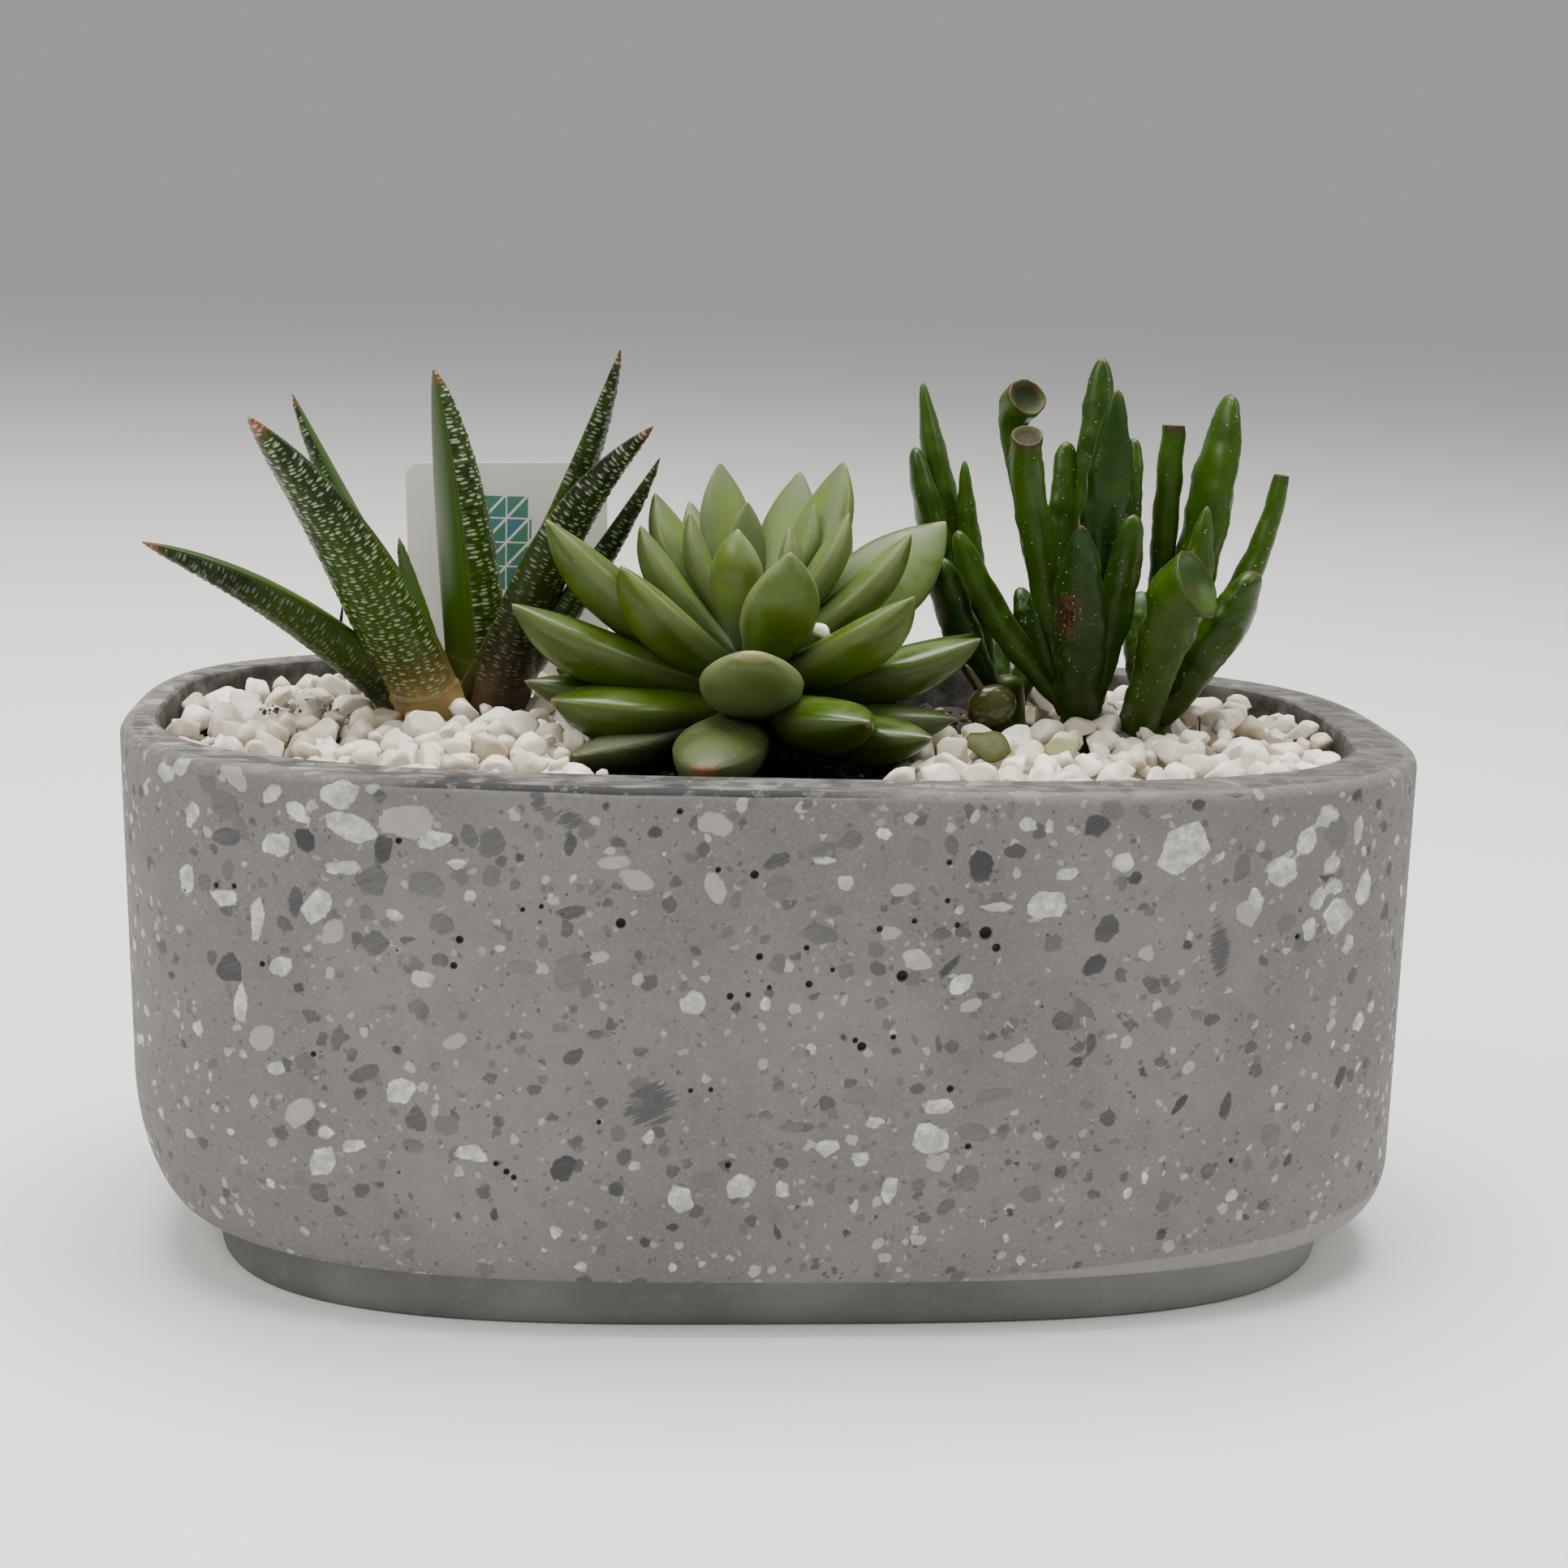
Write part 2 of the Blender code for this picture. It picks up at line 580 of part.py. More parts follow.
def zebra_plant():
    leaves = [zebra_leaf(ZEBRA_AXIS, spec) for spec in ZEBRA_LEAVES]
    return plant("zebra_plant", "zebra_plant", plain_stem(ZEBRA_AXIS, ZEBRA_STEM), leaves)


def rosette_plant():
    leaves = [rosette_leaf(ROSETTE_AXIS, spec, ROSETTE_ROLLS.get(i, 0.0))
              for i, spec in enumerate(ROSETTE_LEAVES)]
    return plant("rosette_plant", "rosette_plant", plain_stem(ROSETTE_AXIS, ROSETTE_STEM), leaves)


def finger_stems():
    stems = []
    for side, axis in FINGER_AXES.items():
        leaves = [finger_leaf(axis, spec) for spec in FINGER_LEAVES[side]]
        stems.append(plant(f"finger_stem_{side}", "finger_stem", plain_stem(axis, FINGER_STEM), leaves))
    return stems


def tag_outline(grow=0.0):
    """The tag's outline in its own plane, from the top of its head to the point of its stake."""
    half = TAG_WIDTH / 2 + grow
    points = []
    for centre_x, centre_z, start in ((half - TAG_CORNER, -TAG_CORNER, 0),
                                      (-half + TAG_CORNER, -TAG_CORNER, 90),
                                      (-half + TAG_CORNER, TAG_CORNER - TAG_HEAD, 180)):
        for step in range(4):
            angle = math.radians(start + 30 * step)
            points.append((centre_x + TAG_CORNER * math.cos(angle), centre_z + TAG_CORNER * math.sin(angle)))
    stake_half = TAG_STAKE_WIDTH / 2 + grow
    shoulder = -TAG_HEAD - 0.6 * TAG_STAKE
    points += [(-stake_half, -TAG_HEAD), (-stake_half, shoulder), (0, -TAG_HEAD - TAG_STAKE - grow),
               (stake_half, shoulder), (stake_half, -TAG_HEAD)]
    for step in range(4):
        angle = math.radians(270 + 30 * step)
        points.append((half - TAG_CORNER + TAG_CORNER * math.cos(angle),
                       TAG_CORNER - TAG_HEAD + TAG_CORNER * math.sin(angle)))
    return points


def plant_tag(grow=0.0, name="plant_tag"):
    bm = bmesh.new()
    half = TAG_THICKNESS / 2 + grow
    face = bm.faces.new([bm.verts.new((x, -half, z)) for x, z in tag_outline(grow)])
    made = bmesh.ops.extrude_face_region(bm, geom=[face])["geom"]
    moved = [item for item in made if isinstance(item, bmesh.types.BMVert)]
    bmesh.ops.translate(bm, verts=moved, vec=(0, 2 * half, 0))
    bmesh.ops.recalc_face_normals(bm, faces=bm.faces)
    place = Matrix.Translation((TAG_MIDDLE.x, TAG_MIDDLE.y, TAG_TOP)) @ Matrix.Rotation(-TAG_TILT, 4, "Y")
    bmesh.ops.transform(bm, matrix=place, verts=bm.verts)
    return object_from(name, bm, "plant_tag")


def stone(rng, place, half_length, squash=0.62):
    """An angular pebble with a dozen corners."""
    bm = bmesh.new()
    bmesh.ops.create_icosphere(bm, subdivisions=1, radius=1.0)
    for vert in bm.verts:
        vert.co *= rng.uniform(0.86, 1.12)
    size = half_length * rng.uniform(0.86, 1.12)
    width = size * rng.uniform(0.72, 0.92)
    shape = Matrix.Diagonal((size, width, size * squash * rng.uniform(0.85, 1.1), 1.0))
    heading = Matrix.Rotation(rng.uniform(0, math.pi), 4, "Z")
    turn = heading @ Matrix.Rotation(rng.uniform(-0.25, 0.25), 4, "X")
    bmesh.ops.transform(bm, matrix=Matrix.Translation(place) @ turn @ shape, verts=bm.verts)
    return bm


def tree_of(obj):
    depsgraph = bpy.context.evaluated_depsgraph_get()
    depsgraph.update()
    return BVHTree.FromObject(obj, depsgraph)


def touches(bm, trees):
    """True where a shape, grown by the touching gap, would meet one of the trees."""
    grown = bm.copy()
    middle = sum((vert.co for vert in grown.verts), Vector()) / len(grown.verts)
    for vert in grown.verts:
        vert.co += (vert.co - middle).normalized() * 1.6 * TOUCH_GAP
    tree = BVHTree.FromBMesh(grown)
    grown.free()
    return any(tree.overlap(other) for other in trees)


def inside_oblong(point, half_length, half_depth):
    across = abs((point.x - CAVITY_SHIFT.x) / half_length) ** POT_SQUARENESS
    return across + abs((point.y - CAVITY_SHIFT.y) / half_depth) ** POT_SQUARENESS < 1


def in_bare_patch(point, share=1.0):
    x = (point.x - BARE_PATCH_CENTRE.x) / (share * BARE_PATCH_RADII.x)
    y = (point.y - BARE_PATCH_CENTRE.y) / (share * BARE_PATCH_RADII.y)
    return x * x + y * y < 1


def scattered(rng, pitch, margin):
    """Places in a jittered honeycomb over the cavity, a margin in from its wall."""
    half_length = POT_LENGTH / 2 - SIDE_WALL - margin
    half_depth = POT_DEPTH / 2 - FRONT_WALL - margin
    rows = int(2 * half_depth / (0.87 * pitch)) + 2
    columns = int(2 * half_length / pitch) + 2
    places = []
    for row in range(rows):
        for column in range(columns):
            x = -half_length + pitch * (column + 0.5 * (row % 2)) + rng.uniform(-0.16, 0.16) * pitch
            y = -half_depth + 0.87 * pitch * row + rng.uniform(-0.16, 0.16) * pitch
            point = Vector((x, y)) + CAVITY_SHIFT
            if inside_oblong(point, half_length, half_depth):
                places.append(point)
    return places


def stem_hole(axis, radius, low, high):
    bm = bmesh.new()
    bmesh.ops.create_cone(bm, cap_ends=True, segments=16, radius1=radius, radius2=radius, depth=high - low)
    bmesh.ops.translate(bm, verts=bm.verts, vec=(axis.x, axis.y, (low + high) / 2))
    hole = object_from("stem_hole", bm)
    hole.hide_render = True
    hole.display_type = "WIRE"
    return hole


def holes_for_plants(low, leaf_bases=0.0):
    """Holes for the stems and a slot for the tag's stake, the touching gap wider all round, and
    wider still by the reach of the zebra plant's leaf bases where those lie in the hole."""
    high = POT_HEIGHT + 20 * MM
    stems = [(ZEBRA_AXIS, ZEBRA_STEM[0] + leaf_bases), (ROSETTE_AXIS, ROSETTE_STEM[0])]
    stems += [(axis, FINGER_STEM[0]) for axis in FINGER_AXES.values()]
    outside = 1 / math.cos(math.pi / 16)
    holes = [stem_hole(axis, radius * outside + TOUCH_GAP, low, high) for axis, radius in stems]
    slot = plant_tag(TOUCH_GAP, "tag_slot")
    slot.hide_render = True
    slot.display_type = "WIRE"
    return holes + [slot]


def bed_base():
    """The lower pebbles as one layer, open where the soil is bare."""
    rings = [cavity_ring(height, 2 * TOUCH_GAP) for height in (SOIL_TOP + TOUCH_GAP, BED_TOP)]
    base = object_from("white_pebbles", lofted(rings), "white_pebbles")
    bm = bmesh.new()
    bmesh.ops.create_cone(bm, cap_ends=True, segments=28, radius1=1, radius2=1, depth=40 * MM)
    bmesh.ops.scale(bm, verts=bm.verts, vec=(BARE_PATCH_RADII.x, BARE_PATCH_RADII.y, 1))
    bmesh.ops.translate(bm, verts=bm.verts, vec=(*BARE_PATCH_CENTRE, SOIL_TOP))
    opening = object_from("bare_patch", bm)
    opening.hide_render = True
    opening.display_type = "WIRE"
    return cut(base, [opening] + holes_for_plants(SOIL_TOP - 10 * MM, ZEBRA_LEAF_BASES))


def white_pebbles(neighbours):
    rng = random.Random(7)
    trees = [tree_of(obj) for obj in neighbours]
    base = bed_base()
    pieces = []
    for point in scattered(rng, PEBBLE_PITCH, PEBBLE_HALF_LENGTH + 1.2 * MM):
        if in_bare_patch(point, 1.04):
            continue
        height = PEBBLE_MIDDLE + rng.uniform(-0.5, 0.7) * MM
        half_length = PEBBLE_HALF_LENGTH * rng.uniform(0.9, 1.1)
        for lowering, shrink in ((0, 1.0), (1.0, 0.95), (1.6, 0.8), (1.6, 0.62)):
            lowest = SOIL_TOP + TOUCH_GAP + 0.75 * shrink * half_length
            place = (point.x, point.y, max(height - lowering * MM, lowest))
            shape = stone(rng, place, shrink * half_length)
            if not touches(shape, trees):
                pieces.append(object_from(f"pebble_{len(pieces)}", shape))
                break
            shape.free()
    return fuse(base, pieces)


def soil(neighbours):
    """Potting soil up to the pebbles, with crumbs standing up in the bare patch."""
    rings = [[point + Vector((0, 0, TOUCH_GAP)) for point in cavity_ring(FLOOR_THICKNESS, TOUCH_GAP)]]
    for height in (FLOOR_THICKNESS + 0.3 * CAVITY_CORNER, FLOOR_THICKNESS + CAVITY_CORNER, SOIL_TOP):
        rings.append(cavity_ring(height, TOUCH_GAP))
    base = object_from("soil", lofted(rings), "soil")
    cut(base, holes_for_plants(STEM_BOTTOM - TOUCH_GAP))
    rng = random.Random(11)
    trees = [tree_of(obj) for obj in neighbours]
    clods = []
    for point in scattered(rng, CLOD_PITCH, CLOD_HALF_LENGTH + 1.0 * MM):
        if not in_bare_patch(point, 0.9):
            continue
        shape = stone(rng, (point.x, point.y, SOIL_TOP + rng.uniform(-0.6, 0.8) * MM), CLOD_HALF_LENGTH, 0.8)
        if touches(shape, trees):
            shape.free()
            continue
        clods.append(object_from(f"clod_{len(clods)}", shape))
    return fuse(base, clods)


def lower_onto(obj, carriers):
    """Lowers a piece until the touching gap is left above what is under it."""
    trees = [tree_of(carrier) for carrier in carriers]
    own = tree_of(obj)
    down = Vector((0, 0, -1))
    gaps = []
    for vert in obj.data.vertices:
        for tree in trees:
            hit = tree.ray_cast(vert.co, down)
            if hit[0] is not None:
                gaps.append(hit[3])
    low = min(vert.co.z for vert in obj.data.vertices)
    for carrier in carriers:
        for vert in carrier.data.vertices:
            hit = own.ray_cast(vert.co, -down)
            if hit[0] is not None and vert.co.z < low + 30 * MM:
                gaps.append(hit[3])
    drop = min(gaps) - TOUCH_GAP
    obj.data.transform(Matrix.Translation((0, 0, -drop)))
    return obj


def fallen_round_leaf(carriers):
    """A plump round leaf with a stub of stem, dropped on the pebbles before the finger plant."""
    bm = bmesh.new()
    bmesh.ops.create_icosphere(bm, subdivisions=2, radius=1.0)
    bmesh.ops.scale(bm, verts=bm.verts, vec=ROUND_LEAF_HALVES)
    leaf = object_from("fallen_round_leaf", bm, "fallen_leaf")
    stub = bmesh.new()
    bmesh.ops.create_cone(stub, cap_ends=True, segments=6, radius1=STUB_RADII[0], radius2=STUB_RADII[1],
                          depth=STUB_LENGTH)
    turn = Matrix.Rotation(STUB_LEAN, 4, "Y")
    bmesh.ops.transform(stub, matrix=Matrix.Translation(STUB_MIDDLE) @ turn, verts=stub.verts)
    fuse(leaf, [object_from("stub", stub)])
    leaf.data.transform(Matrix.Translation(ROUND_LEAF_PLACE))
    return lower_onto(leaf, carriers)


def fallen_flat_leaf(carriers):
    """A flat, see-through leaf propped on the pebbles, its face to the front."""
    bm = lofted(*leaf_rings(Vector((0, 0)), FLAT_LEAF_SPEC, ROSETTE_STATIONS, ROSETTE_SECTION))
    turn = Matrix.Rotation(FLAT_LEAF_TILT, 4, "X") @ Matrix.Rotation(FLAT_LEAF_TURN, 4, "Z")
    bmesh.ops.transform(bm, matrix=Matrix.Translation(FLAT_LEAF_PLACE) @ turn, verts=bm.verts)
    leaf = object_from("fallen_flat_leaf", bm, "fallen_leaf")
    return lower_onto(leaf, carriers)


def caught_pebble(carriers):
    """A small white pebble caught between leaves at the heart's right side."""
    shape = stone(random.Random(3), CAUGHT_PEBBLE_PLACE, CAUGHT_PEBBLE_HALF_LENGTH, 0.8)
    return lower_onto(object_from("caught_pebble", shape, "caught_pebble"), carriers)


def build():
    clear_scene()
    pot = terrazzo_pot()
    zebra = zebra_plant()
    rosette = rosette_plant()
    fingers = finger_stems()
    tag = plant_tag()
    pebbles = white_pebbles([zebra, rosette, tag, *fingers])
    soil([zebra, rosette, pebbles, pot])
    fallen_round_leaf([pebbles, rosette, *fingers])
    fallen_flat_leaf([pebbles, pot])
    caught_pebble([rosette])
    for obj in bpy.data.objects:
        obj.data.shade_smooth()
        obj.data.set_sharp_from_angle(angle=math.radians(40))


build()
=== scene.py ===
"""A ground terrazzo pot with three succulents, white pebbles, dark soil and a plain plant tag."""
import math
import random

import bmesh
import bpy
import numpy as np
from mathutils import Matrix, Vector, noise
from mathutils.bvhtree import BVHTree


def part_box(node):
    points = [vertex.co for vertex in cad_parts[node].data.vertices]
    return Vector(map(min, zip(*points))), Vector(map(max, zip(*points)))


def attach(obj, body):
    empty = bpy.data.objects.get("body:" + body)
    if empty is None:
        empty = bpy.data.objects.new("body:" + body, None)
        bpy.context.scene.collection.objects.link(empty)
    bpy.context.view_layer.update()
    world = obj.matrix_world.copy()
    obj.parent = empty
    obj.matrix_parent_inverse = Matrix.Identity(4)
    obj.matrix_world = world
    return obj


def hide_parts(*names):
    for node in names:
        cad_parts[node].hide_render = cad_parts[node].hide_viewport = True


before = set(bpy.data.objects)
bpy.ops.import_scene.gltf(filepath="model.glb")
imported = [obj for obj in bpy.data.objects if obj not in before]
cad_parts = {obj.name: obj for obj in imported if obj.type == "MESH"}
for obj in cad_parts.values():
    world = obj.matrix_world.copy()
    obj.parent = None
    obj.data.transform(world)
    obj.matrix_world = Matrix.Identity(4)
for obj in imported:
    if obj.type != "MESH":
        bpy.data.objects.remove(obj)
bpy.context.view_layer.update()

MM = 0.001

# Pot, in metres. Threes are for its left end, its right end, and its front and back.
POT_LENGTH = 0.250
POT_DEPTH = 0.132
POT_HEIGHT = 0.1023
POT_SQUARENESS = 3.05
HALF_SIZES = (POT_LENGTH / 2, POT_LENGTH / 2, POT_DEPTH / 2)
LEANS = (0.0015, -0.0025, -0.0005)
CORNERS = ((0.011, 0.026), (0.0075, 0.011), (0.0026, 0.006))
WALLS = (0.0092, 0.0092, 0.0102)
RIM_ROUNDING = 0.002
LIP_ROUNDING = 0.0009
CAVITY_SHIFT = (-0.0025, 0.0012)
CAVITY_DRAFT = 0.002
CAVITY_FLOOR = 0.015
FOOT_HEIGHT = 0.010
FOOT_INSETS = (0.016, 0.0105, 0.0036)
FOOT_SQUARENESS = 3.3
FOOT_CHAMFER = 0.001
FOOT_DRAFT = 0.0012
INSIDE_HEIGHTS = (0.100, 0.0985, 0.097, 0.095, 0.093, 0.090, 0.080)
BODY_RINGS = 90
POINTS_AROUND = 716
FRONT_SHARE = 0.68

# Soil and pebbles, in metres. The soil is bare in front of the rosette and behind the round leaf.
SOIL_TOP = 0.092
SOIL_BOTTOM = 0.086
SOIL_REACH = (0.1165, 0.0565)
BARE_PATCH = ((-0.0065, -0.021), (0.0315, 0.038))
DARK_GAP = ((0.036, 0.027), (0.025, 0.0315))
CRUMB_SIZES = [0.4, 0.6, 0.8, 1.1, 1.5]
# How many loose crumbs are dropped on the bare patch and in the dark gap.
BARE_CRUMBS = 900
GAP_CRUMBS = 600
# Pebbles: the floor they lie on, where they may drop, and the middle, reach and height of their mound.
BED_BOTTOM = 0.0905
DROP_X = (-0.125, 0.122)
DROP_Y = (-0.062, 0.064)
MOUND = ((-0.060, 0.008), (0.030, 0.013), 0.0035)
# Pebbles: how many, and their smallest and largest radius in mm.
PEBBLE_SIZES = [(620, 3.0, 4.7), (170, 1.6, 2.8)]
# Pebbles above this height and larger than this radius have a finer surface.
FINE_ABOVE = 0.0925
FINE_RADIUS = 0.003
# How far pebbles keep from the axis of each kind of stem, in mm.
STEM_GAPS = {"zebra": 9.0, "rosette": 5.0, "finger": 4.8}
# Stones of their own colours: their place in the photo, and 2 yellow-green, 3 pale green or 4 grey.
SPECIAL_PEBBLES = [(305, 828, 2), (1301, 909, 3), (640, 844, 4)]
# Spilled soil: its places in the photo, its depth in mm behind the pot's middle, how many crumbs each
# has, and their middle and spread in mm across, in depth and in height.
SOIL_SPILLS = [(346, 884), (388, 886)]
SPILL_DEPTH = 2.0
SPILL_CRUMBS = 20
SPILL_SPREAD = [(0, 3.6), (0, 2.0), (1.7, 0.6)]
# A dark splinter among the pebbles and a dry twig on a leaf: both ends in the photo and the depth.
DARK_SPLINTER = ((1478, 930), (1478, 880), -5.0)
DRY_TWIG = ((417, 792), (423, 739), 8.0)

# Camera, solved from the pot's rim, foot and sides.
CAMERA_PLACE = Vector((-0.03919, -0.44910, 0.19685))
CAMERA_YAW = -0.09246
CAMERA_PITCH = 0.23733
CAMERA_ROLL = 0.03857
CAMERA_LENS = 53.06
PHOTO_SIZE = 1932
PHOTO_FOCAL = 2847.5

# Plants: the axis in mm, and each leaf as azimuth, rise at the root and added curve in degrees, then
# length, width, thickness and height of the root in mm.
ROOT_RADIUS = 3.0
CURL = 1.5
# Stems in mm: radius at the soil, radius at the top and height. All start in the soil.
STEMS = {"zebra": (7.5, 4.5, 104.0), "rosette": (4.6, 2.6, 121.0), "finger": (4.4, 3.4, 106.0)}
STEM_BOTTOM = 84.0
BED_TOP = 95.6
ZEBRA_AXIS = (-63.0, 20.0)
# Zebra leaves also have the distance of the root from the axis.
ZEBRA_LEAVES = [
    (-153, 44, -31, 69, 16.0, 11.5, 99, 7),
    (-128, 61, -26, 81, 22.5, 12.5, 98, 7),
    (180, 60, 4, 68, 15.0, 8.5, 101, 1),
    (24, 95, 3, 66, 21.0, 15.0, 101, 1),
    (-18, 62, 10, 78, 15.5, 9.0, 101, 1),
    (-32, 76, -44, 73, 18.0, 11.5, 98, 7),
    (-15, 54, 5, 62, 13.0, 8.0, 100, 6),
    (136, 64, 5, 34, 7.5, 5.0, 100, 5),
    (87, 75, 5, 43, 8.5, 5.5, 100, 5),
    (126, 46, 8, 23, 9.0, 6.0, 99, 6),
    (62, 46, 10, 22, 9.0, 6.0, 99, 6),
]
# For each zebra leaf: how brown it is, how yellow its base is, how burnt its tip is, how white its bumps are.
ZEBRA_AGE = [(0.25, 0.1, 0.9, 0.4), (0.05, 1.0, 1.0, 1.0), (0.0, 0.2, 0.3, 0.6), (0.0, 0.1, 0.5, 0.95),
             (0.0, 0.1, 0.3, 0.6), (0.95, 0.6, 0.6, 0.9), (0.2, 0.2, 0.2, 0.6), (0.1, 0.2, 0.8, 0.7),
             (0.1, 0.2, 0.2, 0.7), (0.3, 0.4, 0.4, 0.5), (0.3, 0.4, 0.4, 0.5)]
# The share of a zebra leaf's way round that is its outer face, and how far its bumps stand out in mm.
OUTER_SHARE = 0.75
BUMP_HEIGHT = 0.22
ROSETTE_AXIS = (-5.0, -2.0)
ROSETTE_LEAVES = [
    (162, 58, 20, 26, 6.5, 5.0, 118),
    (-119, 66, 25, 24, 11.0, 6.8, 117),
    (103, 75, 15, 25, 8.0, 5.5, 119),
    (-10, 75, 15, 21, 7.0, 5.5, 119),
    (35, 59, 15, 27, 7.5, 5.5, 119),
    (0, 53, 15, 29, 9.5, 6.4, 118),
    (-77, 39, 35, 33, 15.0, 8.2, 112),
    (108, 58, 15, 38, 11.5, 7.2, 116),
    (113, 36, 20, 39, 9.5, 6.4, 114),
    (68, 44, 20, 42, 12.5, 7.4, 115),
    (39, 54, 15, 41, 13.5, 7.8, 116),
    (147, 48, 15, 35, 11.5, 7.4, 116),
    (175, 44, 20, 32, 9.0, 7.0, 114),
    (-168, 32, 15, 49, 14.0, 10.2, 111),
    (-154, 32, 20, 35, 14.5, 9.8, 111),
    (-165, 15, 15, 49, 15.0, 11.0, 108),
    (26, 27, 15, 50, 18.5, 7.6, 112),
    (-2, 38, 15, 38, 11.0, 8.0, 113),
    (-41, 23, 20, 40, 15.5, 9.8, 110),
    (-13, 13, 12, 44, 14.5, 10.0, 107),
    (12, 10, 10, 45, 9.5, 7.4, 107),
    (-94, 5, 38, 37, 19.5, 9.2, 109),
    (-156, 5, 2, 40, 18.5, 12.0, 104),
    (-173, 5, 2, 42, 10.5, 9.0, 105),
    (-66, 6, 2, 42, 16.5, 11.0, 105),
    (-48, 3, 2, 44, 14.0, 9.8, 103),
    (-23, 4, 0, 39, 11.0, 8.6, 103),
    (-104, 1, -6, 46, 17.0, 11.0, 103),
    (-145, -3, -4, 40, 10.5, 7.5, 102),
    (58, 26, 15, 46, 11.0, 7.2, 113),
    (38, 5, 8, 40, 11.0, 7.9, 105),
    (70, 14, 12, 44, 12.5, 8.2, 108),
    (92, 28, 15, 44, 12.5, 8.0, 111),
    (118, 10, 10, 43, 12.5, 8.4, 106),
    (143, 20, 14, 41, 13.0, 8.6, 109),
    (94, 2, 6, 38, 10.5, 7.9, 104),
    (162, 4, 6, 38, 10.5, 7.9, 104),
]
# Rosette leaves that differ, by their place in the list: dirt, with painted shade on the dirtiest, bluntness,
# bloom with painted light, and roll in degrees.
DUSTY_LEAVES = {26: 0.45, 27: 0.6, 28: 1.0}
BLUNT_LEAVES = {21: 0.55, 27: 0.6, 28: 0.7}
PALE_LEAVES = {21: 0.75}
ROLLED_LEAVES = {16: 38.0}
ORANGE_TIP = 27
# How a rosette leaf's width and thickness go with the share along it.
ROSETTE_SHARES = (0, 0.28, 0.54, 0.76, 0.88, 0.95, 0.985, 1.0)
ROSETTE_WIDTHS = (0.42, 0.68, 1.0, 0.86, 0.54, 0.26, 0.10, 0.0)
ROSETTE_THICKS = (0.60, 0.9, 1.0, 0.86, 0.56, 0.28, 0.11, 0.0)
ROSETTE_RINGS = 46
FINGER_AXES = {"left": (51.0, 23.0), "middle": (64.0, 10.0), "right": (78.5, 11.0)}
# Finger leaves are round or pointed, cut off flat, slim and flat, or open into a cup or a horn, which
# adds its flare, the azimuth it nods to and by how much.
FINGER_LEAVES = {
    "left": [
        (160, 71, 8, 68, 9.4, 6.8, 101, "point"),
        (177, 66, 10, 56, 9.8, 6.4, 101, "round"),
        (175, 77, 8, 51, 7.6, 5.6, 101, "point"),
        (-151, 54, 20, 36, 10.5, 6.6, 101, "round"),
        (100, 50, 14, 28, 8.0, 6.0, 101, "round"),
        (40, 58, 12, 28, 7.5, 5.6, 101, "round"),
    ],
    "middle": [
        (-176, 45, 25, 44, 7.8, 6.0, 103, "round"),
        (-169, 73, 4, 67, 5.4, 5.2, 104, "cup", 0.58, -60, 58),
        (-142, 67, 8, 61, 7.0, 6.4, 103, "cup", -0.04, -75, 22),
        (103, 75, 5, 54, 8.6, 5.8, 103, "round"),
        (79, 78, 5, 70, 8.0, 6.0, 104, "round"),
        (-74, 85, 5, 64, 11.4, 6.8, 104, "point"),
        (35, 80, 5, 55, 8.2, 5.8, 103, "round"),
        (-107, 56, 10, 49, 10.8, 7.4, 101, "point"),
        (-71, 71, 8, 44, 8.0, 6.2, 102, "round"),
        (-150, 52, 26, 26, 4.6, 4.0, 104, "round"),
        (140, 58, 10, 28, 7.6, 5.6, 101, "round"),
        (70, 56, 14, 28, 7.4, 5.6, 101, "round"),
    ],
    "right": [
        (71, 82, 3, 57, 5.6, 4.8, 104, "flat"),
        (25, 76, 8, 65, 11.4, 7.4, 103, "round"),
        (-42, 77, 10, 43, 9.0, 6.0, 103, "point"),
        (5, 54, 30, 54, 7.4, 6.2, 103, "slim"),
        (-40, 57, 10, 37, 12.5, 8.2, 101, "round"),
        (-85, 56, 5, 40.5, 11.8, 10.4, 100, "horn", 0.17, -28, 46),
        (86, 50, 14, 28, 8.0, 6.0, 101, "round"),
        (38, 44, 16, 28, 8.0, 6.0, 101, "round"),
    ],
}
# How the width goes along each kind of finger leaf, as share along and share of the width.
FINGER_WIDTHS = {
    "round": [(0.0, 0.62), (0.25, 0.84), (0.6, 1.0), (0.86, 0.80), (0.95, 0.54), (0.985, 0.32), (1.0, 0.0)],
    "point": [(0.0, 0.62), (0.25, 0.86), (0.55, 1.0), (0.80, 0.74), (0.93, 0.42), (0.98, 0.22), (1.0, 0.0)],
    "flat": [(0.0, 0.7), (0.3, 0.88), (0.65, 0.95), (0.94, 0.88), (0.975, 0.84), (0.988, 0.72), (0.98, 0.0)],
    "slim": [(0.0, 0.8), (0.35, 1.0), (0.7, 0.76), (0.94, 0.56), (0.975, 0.54), (0.988, 0.44), (0.98, 0.0)],
    "cup": [(0.0, 0.85), (0.4, 0.94), (0.84, 1.0)],
    "horn": [(0.0, 0.66), (0.4, 0.76), (0.84, 1.0)],
}
FINGER_RINGS = 60
# Where a cup begins along its leaf. Each ring of its lip: its advance as a share of the length, how
# far it has nodded and opened, and its share of the width. Then how far in and how narrow the inside is.
CUP_START = 0.84
CUP_LIP = [(0.035, 0.22, 0.12, 1.0), (0.040, 0.55, 0.50, 1.0), (0.040, 0.85, 0.85, 1.0),
           (0.030, 1.0, 1.0, 1.0), (0.008, 1.0, 1.0, 0.95), (0.0, 1.0, 1.0, 0.86)]
CUP_INSIDE = [(0.35, 0.70), (0.72, 0.45), (0.93, 0.2), (1.0, 0.0)]
CUP_DEPTH = 0.5
# How far the horn's root stands off its stem's axis, in mm.
HORN_SHIFT = np.array((-4.0, -3.0))
